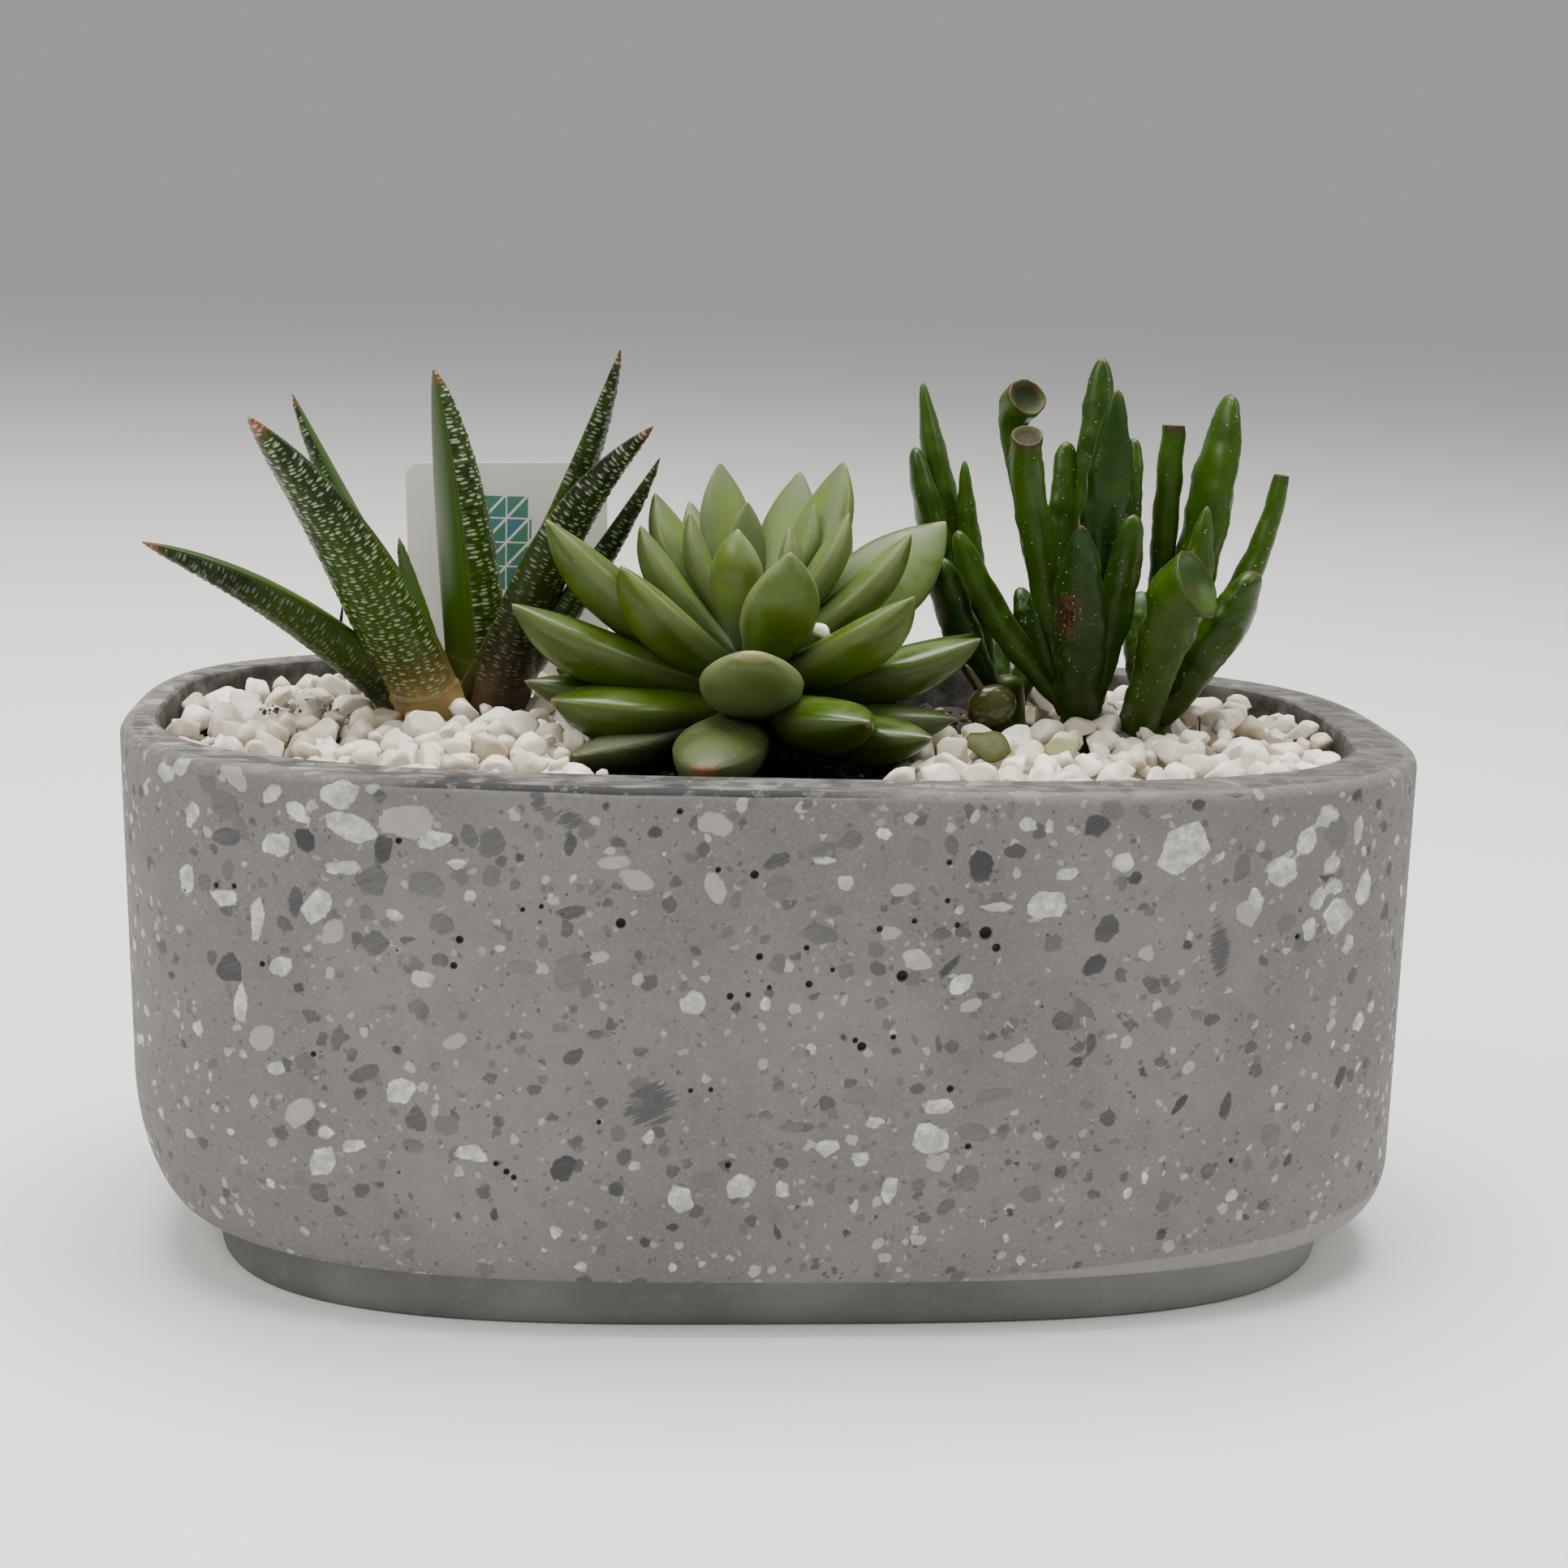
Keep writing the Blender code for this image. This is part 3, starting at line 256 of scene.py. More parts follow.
# A brown scab on the front finger: its middle and reach in mm.
SCAB_MIDDLE = (55.6, -11.0, 125.0)
SCAB_REACH = (2.0, 7.0, 4.2)

# Plant tag, in metres: the head, then the stake below it.
TAG_MIDDLE = (-0.0549, 0.043)
TAG_TOP = 0.146
TAG_WIDTH = 0.0422
TAG_HEAD = 0.052
TAG_CORNER = 0.0032
TAG_THICKNESS = 0.0008
TAG_TILT = math.radians(1.7)
TAG_BEND = 0.7
STAKE_RADIUS = 0.0106
STAKE_LENGTH = 0.016
STAKE_DROP = 0.0078
STAKE_POINT = 0.0102

# Fallen leaves, in mm.
ROUND_LEAF = (4.9, 3.4, 4.4)
ROUND_LEAF_DROP = Vector((0, 0, -0.0022))
STUB_LENGTH = 8.0
FLAT_LEAF = (9.0, 4.0, 1.6)
FLAT_LEAF_TURN = Matrix.Rotation(math.radians(38), 3, "X") @ Matrix.Rotation(math.radians(-20), 3, "Z")

# The larger chips on the front: where they show in the photo, their half length and half width
# there, the heading of their length in degrees and their tone, 0 black to 1 white.
SEEN_CHIPS = [
    (280, 1031, 20, 12, 10, 0.16), (376, 1038, 18, 13, -50, 0.02), (471, 1042, 17, 13, 80, 0.10),
    (457, 1085, 21, 20, 40, 0.24), (526, 1087, 21, 18, -20, 0.30), (605, 1037, 19, 16, 60, 0.22),
    (575, 1027, 17, 10, -75, 0.22), (702, 1044, 14, 8, 70, 0.14), (761, 1017, 15, 7, -12, 0.2),
    (363, 1114, 21, 10, 80, 0.14), (466, 1158, 19, 15, 0, 0.22), (544, 1142, 16, 14, -30, 0.26),
    (709, 1125, 20, 8, 8, 0.18), (702, 1200, 24, 20, 60, 0.32), (284, 1196, 21, 17, 25, 0.10),
    (643, 1191, 20, 10, -10, 0.36), (958, 1063, 19, 9, 22, 0.16), (963, 1096, 18, 16, 0, 0.30),
    (907, 1109, 14, 5, 80, 0.3), (863, 1152, 19, 15, 10, 0.36), (695, 1438, 20, 16, 55, 0.06),
    (511, 1377, 16, 12, -70, 0.18), (551, 1386, 15, 13, 0, 0.30), (507, 1413, 13, 10, 0, 0.26),
    (453, 1321, 15, 11, 20, 0.22), (445, 1350, 10, 7, 0, 0.16), (365, 1250, 14, 11, 0, 0.36),
    (711, 1301, 15, 8, 35, 0.14), (735, 1271, 10, 7, 0, 0.2), (757, 1468, 11, 9, 70, 0.12),
    (870, 1451, 14, 10, 0, 0.3), (795, 1477, 16, 14, 0, 0.38), (395, 1468, 14, 13, -40, 0.2),
    (981, 1391, 19, 6, 0, 0.28), (415, 1281, 16, 8, 80, 0.22), (511, 1238, 13, 7, 40, 0.26),
    (249, 1088, 13, 11, 60, 0.24), (276, 992, 20, 17, -45, 0.26), (466, 982, 10, 8, 0, 0.2),
    (300, 1018, 26, 6, -55, 0.28), (420, 981, 28, 16, 25, 0.86), (430, 1019, 31, 17, -12, 0.84),
    (499, 1010, 33, 22, 20, 0.66), (368, 1001, 19, 11, -25, 0.92), (341, 1040, 20, 17, 0, 1.0),
    (538, 1038, 21, 10, 15, 0.95), (334, 978, 17, 10, 50, 0.9), (222, 942, 20, 11, 75, 0.95),
    (253, 942, 16, 13, 0, 0.85), (288, 958, 26, 13, -35, 0.62), (238, 1000, 19, 9, 75, 0.95),
    (280, 1069, 21, 12, 80, 0.95), (276, 1108, 19, 10, 0, 0.9), (391, 1115, 22, 15, 55, 0.95),
    (317, 1131, 25, 9, 85, 0.85), (422, 1067, 21, 10, 0, 0.9), (345, 1191, 17, 12, 35, 0.97),
    (295, 1235, 24, 10, 85, 0.9), (522, 1204, 17, 11, -15, 0.75), (563, 1064, 12, 7, 0, 0.9),
    (322, 1281, 20, 16, 45, 0.62), (338, 1312, 12, 8, 0, 0.9), (495, 1342, 17, 16, 30, 0.97),
    (372, 1369, 22, 15, 40, 0.66), (397, 1432, 20, 16, 45, 0.97), (434, 1414, 18, 9, 15, 0.95),
    (584, 1423, 21, 11, -10, 0.9), (403, 1394, 11, 8, 0, 0.9), (880, 1015, 24, 15, 0, 0.62),
    (878, 1094, 20, 12, -70, 0.72), (757, 1060, 20, 9, 10, 0.68), (784, 1085, 24, 12, -20, 0.62),
    (853, 1236, 17, 16, 0, 0.82), (835, 1477, 20, 15, -60, 0.97), (911, 1462, 19, 15, 60, 0.97),
    (966, 1468, 12, 8, -50, 0.95), (561, 1285, 18, 11, 15, 0.62), (738, 1177, 12, 9, 0, 0.66),
    (411, 1150, 18, 13, 60, 0.6), (488, 1128, 14, 7, -15, 0.85), (1458, 1046, 33, 26, 20, 0.95),
    (1292, 1114, 26, 18, 10, 0.95), (1582, 1075, 24, 19, -20, 1.0), (1609, 1037, 21, 15, 70, 0.92),
    (1638, 1006, 19, 15, 0, 0.97), (1649, 1129, 24, 22, 30, 0.97), (1621, 1106, 15, 11, 70, 0.97),
    (1680, 1100, 23, 14, 80, 0.97), (1386, 1061, 15, 13, 0, 0.97), (1216, 996, 10, 9, 0, 0.95),
    (1549, 1108, 15, 10, -70, 0.9), (1184, 1209, 17, 13, 20, 0.95), (1130, 1183, 19, 12, -15, 0.75),
    (1155, 1363, 19, 12, 10, 0.97), (1145, 1400, 23, 20, -40, 0.95), (1018, 1415, 14, 11, 0, 0.92),
    (1061, 1431, 12, 9, 0, 0.92), (1095, 1469, 20, 11, 80, 0.92), (1155, 1432, 14, 11, 0, 0.6),
    (1078, 1385, 12, 7, 0, 0.9), (1645, 1094, 19, 9, 0, 0.95), (1638, 1065, 15, 11, 60, 0.9),
    (1611, 1146, 15, 10, 80, 0.9), (1676, 1260, 12, 12, 0, 0.95), (1230, 1119, 21, 6, -3, 0.8),
    (1315, 1075, 15, 8, 0, 0.85), (1112, 1096, 16, 9, 0, 0.6), (1042, 1091, 12, 10, 0, 0.8),
    (1015, 1058, 17, 7, 0, 0.8), (1258, 1300, 20, 11, 15, 0.66), (1457, 1102, 18, 13, 0, 0.64),
    (1661, 1165, 12, 9, 70, 0.85), (1676, 1023, 20, 8, 85, 0.85), (1411, 1178, 12, 9, 0, 0.64),
    (1098, 1150, 13, 8, 0, 0.6), (1195, 1240, 14, 7, 20, 0.6), (1290, 995, 17, 14, 20, 0.10),
    (1209, 1069, 21, 16, -75, 0.04), (1561, 1009, 24, 18, -70, 0.30), (1532, 1068, 16, 12, 70, 0.24),
    (1476, 994, 11, 8, 0, 0.12), (1518, 975, 14, 6, -10, 0.06), (1640, 975, 18, 13, 0, 0.16),
    (1251, 1046, 15, 9, 10, 0.14), (1131, 1050, 19, 15, 80, 0.34), (1080, 1071, 18, 15, 60, 0.36),
    (1051, 1031, 14, 13, 0, 0.26), (1011, 1044, 21, 9, 12, 0.26), (1172, 1042, 12, 8, -60, 0.2),
    (1367, 1145, 20, 14, 60, 0.14), (1349, 1192, 17, 13, 30, 0.06), (1172, 1191, 20, 6, 50, 0.08),
    (1418, 1217, 13, 9, -50, 0.2), (1311, 1254, 13, 12, 0, 0.16), (1432, 1254, 13, 11, 70, 0.28),
    (1339, 1246, 22, 6, -45, 0.24), (1343, 1282, 12, 6, -75, 0.14), (1297, 1163, 13, 9, 40, 0.24),
    (1157, 1148, 13, 7, 10, 0.2), (1266, 1142, 14, 12, 0, 0.38), (1203, 1396, 24, 12, -10, 0.30),
    (1222, 1352, 22, 10, 15, 0.30), (1194, 1302, 17, 11, 0, 0.34), (1057, 1350, 19, 13, 10, 0.36),
    (1194, 1454, 18, 14, 70, 0.28), (1363, 1380, 10, 10, 0, 0.16), (1451, 1362, 18, 6, 50, 0.04),
    (1509, 1362, 18, 7, 80, 0.10), (1565, 1400, 16, 15, 0, 0.30), (1651, 1325, 15, 9, 75, 0.06),
    (1666, 1202, 11, 8, 70, 0.18), (1584, 1138, 14, 13, 0, 0.28), (1494, 1254, 10, 8, 0, 0.18),
    (1409, 1319, 10, 5, -60, 0.08), (1635, 1082, 11, 6, 0, 0.08), (1398, 1081, 11, 7, 10, 0.06),
    (1026, 1121, 13, 8, 0, 0.26), (1012, 1150, 21, 12, -10, 0.24), (992, 1392, 14, 7, 0, 0.22),
    (1155, 1285, 14, 5, -75, 0.2), (1165, 1485, 14, 8, 40, 0.24), (1271, 1473, 12, 10, -30, 0.26),
    (1699, 1038, 16, 8, 85, 0.2), (1395, 1352, 12, 4, -40, 0.14),
]
# Air holes: where they show in the photo and their radius there.
SEEN_PITS = [
    (1215, 1150, 9), (1228, 1168, 6), (1112, 1203, 8), (765, 1138, 7), (930, 1078, 6), (566, 1158, 5.5),
    (559, 1190, 5), (936, 1179, 5), (900, 1228, 5), (922, 1226, 4), (948, 1217, 3.5), (885, 1072, 4),
    (838, 1000, 4.5), (491, 1036, 4.5), (1062, 1290, 6.5), (1054, 1282, 4), (1101, 1278, 4), (1171, 1342, 5),
    (1193, 1413, 4.5), (997, 1213, 5), (994, 1168, 4), (1127, 1135, 4), (1170, 1063, 4), (1168, 1110, 4),
    (1180, 1140, 4), (1084, 1145, 4.5), (266, 1091, 4), (288, 1092, 4), (386, 1299, 4), (897, 1436, 4.5),
    (624, 1444, 4.5), (633, 1451, 4), (611, 1434, 4), (738, 1383, 3.5), (1599, 1154, 4), (851, 1344, 3.5),
    (876, 1343, 3.5), (644, 1121, 3.5), (667, 1117, 3.5), (1026, 1195, 3.5), (323, 1188, 4),
    (1517, 1430, 3.5),
]
# Dark scratched smudges: where they show in the photo, and their half width and height there.
SEEN_SMUDGES = [(799, 1361, 32, 27), (1503, 1169, 12, 36), (704, 1010, 16, 12), (663, 985, 10, 16)]
# Chips scattered elsewhere: smallest and largest radius in mm, and how many are tried.
CHIP_SIZES = [(2.6, 3.8, 420), (1.7, 2.6, 1500), (0.8, 1.7, 4200)]
LARGEST_FRONT_CHIP = 1.5
# Specks in the cement: size in mm, share of cells that hold one, strength and colour.
SPECKS = [(1.3, 0.14, 0.8, (0.070, 0.067, 0.066)), (1.9, 0.16, 0.5, (0.38, 0.365, 0.35)),
          (2.7, 0.20, 0.7, (0.092, 0.089, 0.089)), (3.3, 0.10, 0.7, (0.40, 0.385, 0.365)),
          (4.3, 0.20, 0.85, (0.060, 0.058, 0.060)), (5.6, 0.16, 0.7, (0.085, 0.082, 0.082))]

# Lights: place, size, power and colour. All face the plants.
LIGHTS = {
    "window_left": ((-0.9, -0.5, 1.1), (0.9, 0.7), 13.0, (1.0, 0.98, 0.95)),
    "window_right": ((1.0, -0.3, 0.9), (0.7, 0.7), 6.0, (1.0, 0.98, 0.96)),
    "overhead": ((0.0, 0.2, 1.3), (1.0, 0.8), 36.0, (1.0, 0.985, 0.96)),
}
LIT_PLACE = Vector((0, 0, 0.08))
ROOM_COLOUR = (0.80, 0.82, 0.80, 1.0)
ROOM_STRENGTH = 0.45
FLOOR_RADIUS = 9.0


class Wire:
    """A shader socket that adds and multiplies like a number. node() makes any other node."""

    def __init__(self, tree, socket=None):
        self.tree = tree
        self.socket = socket
        self.places = None

    def node(self, kind, settings=None, inputs=None, out=0):
        made = self.tree.nodes.new("ShaderNode" + kind)
        for key, value in (settings or {}).items():
            setattr(made, key, value)
        for key, value in (inputs or {}).items():
            self.feed(made.inputs[key], value)
        return Wire(self.tree, made.outputs[out])

    def feed(self, socket, value):
        if isinstance(value, Wire):
            self.tree.links.new(value.socket, socket)
        elif isinstance(value, tuple) and len(value) == 3 and len(socket.default_value) == 4:
            socket.default_value = (*value, 1.0)
        else:
            socket.default_value = value

    def maths(self, operation, *values):
        return self.node("Math", {"operation": operation}, dict(enumerate(values)))

    def __add__(self, other):
        return self.maths("ADD", self, other)

    def __sub__(self, other):
        return self.maths("SUBTRACT", self, other)

    def __rsub__(self, other):
        return self.maths("SUBTRACT", other, self)

    def __mul__(self, other):
        return self.maths("MULTIPLY", self, other)

    def __truediv__(self, other):
        return self.maths("DIVIDE", self, other)

    __radd__ = __add__
    __rmul__ = __mul__

    def ramp(self, low, high, to_low=0.0, to_high=1.0):
        """Eases from to_low at low to to_high at high, and stays level outside."""
        return self.node("MapRange", {"interpolation_type": "SMOOTHSTEP"},
                         {"Value": self, "From Min": low, "From Max": high,
                          "To Min": to_low, "To Max": to_high})

    def fall(self, low, high):
        """Eases from 1 at low to 0 at high."""
        return self.ramp(low, high, 1.0, 0.0)

    def mix(self, low, high):
        """Colours from low at 0 to high at 1."""
        return self.node("Mix", {"data_type": "RGBA"}, {0: self, 6: low, 7: high}, out=2)

    def noise(self, size, detail=2.0, rough=0.5, places=None, out=0):
        """Cloudy noise whose lumps are about size millimetres."""
        return self.node("TexNoise", None, {"Vector": places or self.places, "Scale": 1 / size,
                                            "Detail": detail, "Roughness": rough}, out=out)

    def cells(self, size, feature="F1", out=0, places=None):
        """Cells about size millimetres across: the distance to their middles, or out=1 their colours."""
        return self.node("TexVoronoi", {"feature": feature}, {"Vector": places or self.places,
                                                              "Scale": 1 / size}, out=out)

    def painted(self, name):
        return self.node("Attribute", {"attribute_name": name}, out=2)

    def joined(self, x, y, z=0.0):
        return self.node("CombineXYZ", None, {0: x, 1: y, 2: z})

    def part(self, axis):
        """One of the three numbers of a place or colour."""
        return self.node("SeparateXYZ", None, {0: self}, out="XYZ".index(axis))

    def vector(self, operation, inputs, out=0):
        return self.node("VectorMath", {"operation": operation}, inputs, out=out)

    def bump(self, distance, strength):
        return self.node("Bump", None, {"Height": self, "Distance": distance, "Strength": strength})


def new_material(name, **constants):
    """A material, its shader's feeding function and a wire to make nodes with."""
    made = bpy.data.materials.new(name)
    made.use_nodes = True
    shader = made.node_tree.nodes["Principled BSDF"]
    wire = Wire(made.node_tree)
    wire.places = wire.vector("SCALE", {0: wire.node("TexCoord", out=3), "Scale": 1 / MM})

    def feed(**values):
        for key, value in values.items():
            wire.feed(shader.inputs[key.replace("_", " ")], value)

    feed(**constants)
    return made, feed, wire


def signed_power(values, power):
    return np.sign(values) * np.abs(values) ** power


def eased(knots, values, t):
    """A smooth curve through the values at the knots, read at t."""
    knots = np.array(knots, float)
    values = np.array(values, float)
    slopes = np.gradient(values, knots, axis=0)
    index = np.clip(np.searchsorted(knots, t, side="right") - 1, 0, len(knots) - 2)
    column = (-1,) + (1,) * (values.ndim - 1)
    gap = (knots[index + 1] - knots[index]).reshape(column)
    share = np.clip((t - knots[index]).reshape(column) / gap, 0, 1)
    rest = 1 - share
    return ((1 + 2 * share) * rest ** 2 * values[index] + share ** 2 * (3 - 2 * share) * values[index + 1]
            + share * rest ** 2 * gap * slopes[index] - share ** 2 * rest * gap * slopes[index + 1])


# Meshes

def painted_mesh(*names):
    """An empty mesh whose points can be painted with values by these names."""
    bm = bmesh.new()
    for name in names:
        bm.verts.layers.float.new(name)
    return bm


def paint(bm, verts, paints):
    """Paints points by name, with one value for all or one for each."""
    for name, values in paints.items():
        layer = bm.verts.layers.float[name]
        for vert, value in zip(verts, np.broadcast_to(np.array(values, float), len(verts)).tolist()):
            vert[layer] = value


def small_mesh(whole):
    """An empty mesh with the whole's paints, for one small shape."""
    return painted_mesh(*whole.verts.layers.float.keys())


def add_to(whole, bm):
    mesh = bpy.data.meshes.new("part")
    bm.to_mesh(mesh)
    bm.free()
    whole.from_mesh(mesh)
    bpy.data.meshes.remove(mesh)


def only_verts(items):
    return [item for item in items if isinstance(item, bmesh.types.BMVert)]


def in_order(bm):
    """Sorts faces and edges by their points, because extruding leaves them in no fixed order."""
    bm.verts.index_update()
    count = len(bm.verts)

    def rank(item):
        first, second, third = (sorted(vert.index for vert in item.verts) + [0])[:3]
        return float((first * count + second) * count + third)

    bm.faces.sort(key=rank)
    bm.edges.sort(key=rank)


def wrapped(whole, rings, around, shape):
    """Adds a closed skin: a sheet rolled up and sewn, whose points shape() moves, given the share
    along and the turn of each. shape() returns places in metres and values to paint by name."""
    bm = small_mesh(whole)
    made = bmesh.ops.create_grid(bm, x_segments=around, y_segments=rings, size=1.0)["verts"]
    across = np.array([vert.co.x for vert in made])
    along = np.clip(np.array([(vert.co.y + 1) / 2 for vert in made]), 0, 1)
    across[across > 0.9999] = -1.0
    seam = np.nonzero((across < -0.9999) | (along < 0.0001) | (along > 0.9999))[0]
    along = np.rint(along * rings) / rings
    places, paints = shape(along, across * math.pi)
    for vert, place in zip(made, places.tolist()):
        vert.co = place
    paint(bm, made, paints)
    bmesh.ops.remove_doubles(bm, verts=[made[i] for i in seam], dist=1e-7)
    add_to(whole, bm)


def past_cap(along, rings):
    """The share along a skin whose first ring closes its root."""
    first = 1.0 / rings
    return np.clip((along - first) / (1 - first), 0, 1)


def splinter(bm, ends, radius, **paints):
    """A thin dry bit between its ends in the photo, at a depth."""
    start, end = (seen_at(*place, ends[2]) for place in ends[:2])
    way = (end - start) / np.linalg.norm(end - start)
    side = np.cross(way, (0.0, 1.0, 0.0))
    side /= np.linalg.norm(side)
    normal = np.cross(side, way)

    def shape(along, turn):
        wide = radius * np.sin(np.pi * along) ** 0.4 * (1.1 - 0.5 * along)
        around = side * np.cos(turn)[:, None] + normal * np.sin(turn)[:, None]
        return (start + (end - start) * along[:, None] + around * wide[:, None]) * MM, paints

    wrapped(bm, 8, 8, shape)


def object_from(name, bm, material):
    mesh = bpy.data.meshes.new(name)
    bm.to_mesh(mesh)
    bm.free()
    mesh.materials.append(material)
    made = bpy.data.objects.new(name, mesh)
    bpy.context.scene.collection.objects.link(made)
    return made


def placed(name, bm, material, node, sharp=None):
    """Turns a mesh into a named piece that stands for a node."""
    bmesh.ops.recalc_face_normals(bm, faces=bm.faces)
    piece = object_from(name, bm, material)
    piece.data.shade_smooth()
    if sharp:
        piece.data.set_sharp_from_angle(angle=math.radians(sharp))
    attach(piece, "root")
    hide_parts(node)


# Camera

def camera_axes():
    """Right, up and ahead."""
    right = Vector((math.cos(CAMERA_YAW), math.sin(CAMERA_YAW), 0))
    level = Vector((-math.sin(CAMERA_YAW), math.cos(CAMERA_YAW), 0))
    ahead = level * math.cos(CAMERA_PITCH) + Vector((0, 0, -math.sin(CAMERA_PITCH)))
    up = right.cross(ahead)
    rolled_right = right * math.cos(CAMERA_ROLL) + up * math.sin(CAMERA_ROLL)
    rolled_up = up * math.cos(CAMERA_ROLL) - right * math.sin(CAMERA_ROLL)
    return rolled_right, rolled_up, ahead


def photo_ray(px, py):
    """The direction from the camera through a place in the photo."""
    right, up, ahead = camera_axes()
    centre = PHOTO_SIZE / 2
    return (ahead + right * (px - centre) / PHOTO_FOCAL + up * (centre - py) / PHOTO_FOCAL).normalized()


def seen_at(px, py, depth):
    """The place in mm that the photo shows at px, py, at a depth in mm behind the pot's middle."""
    ray = photo_ray(px, py)
    return np.array(CAMERA_PLACE + ray * ((depth * MM - CAMERA_PLACE.y) / ray.y)) / MM


def camera():
    data = bpy.data.cameras.new("camera")
    data.lens = CAMERA_LENS
    data.sensor_width = 36.0
    data.clip_start = 0.01
    eye = bpy.data.objects.new("camera", data)
    right, up, ahead = camera_axes()
    eye.matrix_world = Matrix.Translation(CAMERA_PLACE) @ Matrix((right, up, -ahead)).transposed().to_4x4()
    bpy.context.scene.collection.objects.link(eye)
    bpy.context.scene.camera = eye


# Terrazzo pot

def even_angles(turn):
    """Angles that space points evenly round the pot's outline, closer on its front, with how far
    round each point is and the whole way round."""
    fine = np.linspace(-math.pi, math.pi, 4097)
    x = POT_LENGTH / 2 * signed_power(np.cos(fine), 2 / POT_SQUARENESS)
    y = POT_DEPTH / 2 * signed_power(np.sin(fine), 2 / POT_SQUARENESS)
    walked = np.concatenate([[0], np.cumsum(np.hypot(np.diff(x), np.diff(y)))])
    round_way = np.interp((turn + math.pi) / (2 * math.pi), [0, FRONT_SHARE, 1], [0, 0.5, 1]) * walked[-1]
    return np.interp(round_way, walked, fine), round_way, walked[-1]


def body_sizes(height):
    """Half sizes of the outside, which leans and has rounded lower corners."""
    down = (POT_HEIGHT - height) / POT_HEIGHT
    sizes = []
    for half, lean, (reach, rise) in zip(HALF_SIZES, LEANS, CORNERS):
        above = min(1.0, (height - FOOT_HEIGHT) / rise)
        sizes.append(half - lean * down - reach * (1 - math.sqrt(max(0.0, 1 - (1 - above) ** 2))))
    return sizes


def cavity_sizes(height, outset=0.0):
    inset = CAVITY_DRAFT * (POT_HEIGHT - height) / (POT_HEIGHT - CAVITY_FLOOR) - outset
    return [half - wall - inset for half, wall in zip(HALF_SIZES, WALLS)]


def cavity_reach(x, y, margin):
    """Below 1 inside the pot's cavity, less a margin."""
    half_x, _, half_y = cavity_sizes(POT_HEIGHT, -margin)
    return (abs((x - CAVITY_SHIFT[0]) / half_x) ** POT_SQUARENESS
            + abs((y - CAVITY_SHIFT[1]) / half_y) ** POT_SQUARENESS)


def pot_profile():
    """Rings from the middle of the underside, up the outside, over the rim and down inside, each as
    half sizes, squareness, height and zone: -1 the foot, 0 the body, up to 1 over the rim and inside."""
    foot = [half - inset for half, inset in zip(HALF_SIZES, FOOT_INSETS)]
    rows = [([0, 0, 0], FOOT_SQUARENESS, 0.0, -1)]
    for inset, height in ((0.012, 0), (FOOT_DRAFT + FOOT_CHAMFER, 0),
                          (FOOT_DRAFT + 0.4 * FOOT_CHAMFER, 0.0003), (FOOT_DRAFT, FOOT_CHAMFER),
                          (0.75 * FOOT_DRAFT, 0.003), (0.4 * FOOT_DRAFT, 0.006),
                          (0.1 * FOOT_DRAFT, 0.0088), (0.0, 0.0096), (0.0, FOOT_HEIGHT)):
        rows.append(([size - inset for size in foot], FOOT_SQUARENESS, height, -1))
    corner = [FOOT_HEIGHT + step for step in (0.00005, 0.0002, 0.0005)]
    for height in [*corner, *np.linspace(FOOT_HEIGHT + 0.001, POT_HEIGHT - RIM_ROUNDING, BODY_RINGS)]:
        rows.append((body_sizes(height), POT_SQUARENESS, height, 0))
    for turn in np.radians([18, 36, 54, 72, 90]):
        outer = [size - RIM_ROUNDING * (1 - math.cos(turn)) for size in body_sizes(POT_HEIGHT)]
        rows.append((outer, POT_SQUARENESS, POT_HEIGHT - RIM_ROUNDING * (1 - math.sin(turn)), 0))
    inner = cavity_sizes(POT_HEIGHT, LIP_ROUNDING)
    for share in (0.2, 0.4, 0.6, 0.8, 1.0):
        rows.append(([a + (b - a) * share for a, b in zip(outer, inner)], POT_SQUARENESS, POT_HEIGHT, share))
    for turn in np.radians([45, 90]):
        lip = cavity_sizes(POT_HEIGHT, LIP_ROUNDING * (1 - math.sin(turn)))
        rows.append((lip, POT_SQUARENESS, POT_HEIGHT - LIP_ROUNDING * (1 - math.cos(turn)), 1))
    for height in INSIDE_HEIGHTS:
        rows.append((cavity_sizes(height), POT_SQUARENESS, height, 1))
    rows.append(([0, 0, 0], POT_SQUARENESS, INSIDE_HEIGHTS[-1], 1))
    return rows


def paint_smudges(places):
    """How deep each point lies in a smudge on the front."""
    spots = places - np.array(CAMERA_PLACE)
    right, up, _ = camera_axes()
    value = np.zeros(len(places))
    for px, py, wide, tall in SEEN_SMUDGES:
        ray = np.array(photo_ray(px, py))
        off = spots - (spots @ ray)[:, None] * ray
        scale = PHOTO_FOCAL / np.linalg.norm(spots, axis=1)
        far = np.hypot(off @ np.array(right) * scale / wide, off @ np.array(up) * scale / tall)
        value = np.maximum(value, np.where(places[:, 1] < 0, np.clip(1.5 - far, 0, 1), 0))
    return value


def seen_chips(places, round_way):
    """The chips seen on the front, laid on the pot's points by the camera's rays through them, as way
    round, height, size, squeeze, heading and tone."""
    front = np.nonzero(places[:, 1] < 0)[0]
    spots = places[front] - np.array(CAMERA_PLACE)
    chips = []
    for px, py, half_length, half_width, heading, tone in SEEN_CHIPS:
        index = np.argmin(np.linalg.norm(np.cross(spots, np.array(photo_ray(px, py))), axis=1))
        scale = np.linalg.norm(spots[index]) / PHOTO_FOCAL
        chips.append((round_way[front[index]], places[front[index], 2], half_length * scale * 1.1,
                      half_width / half_length, math.radians(heading), tone))
    return chips


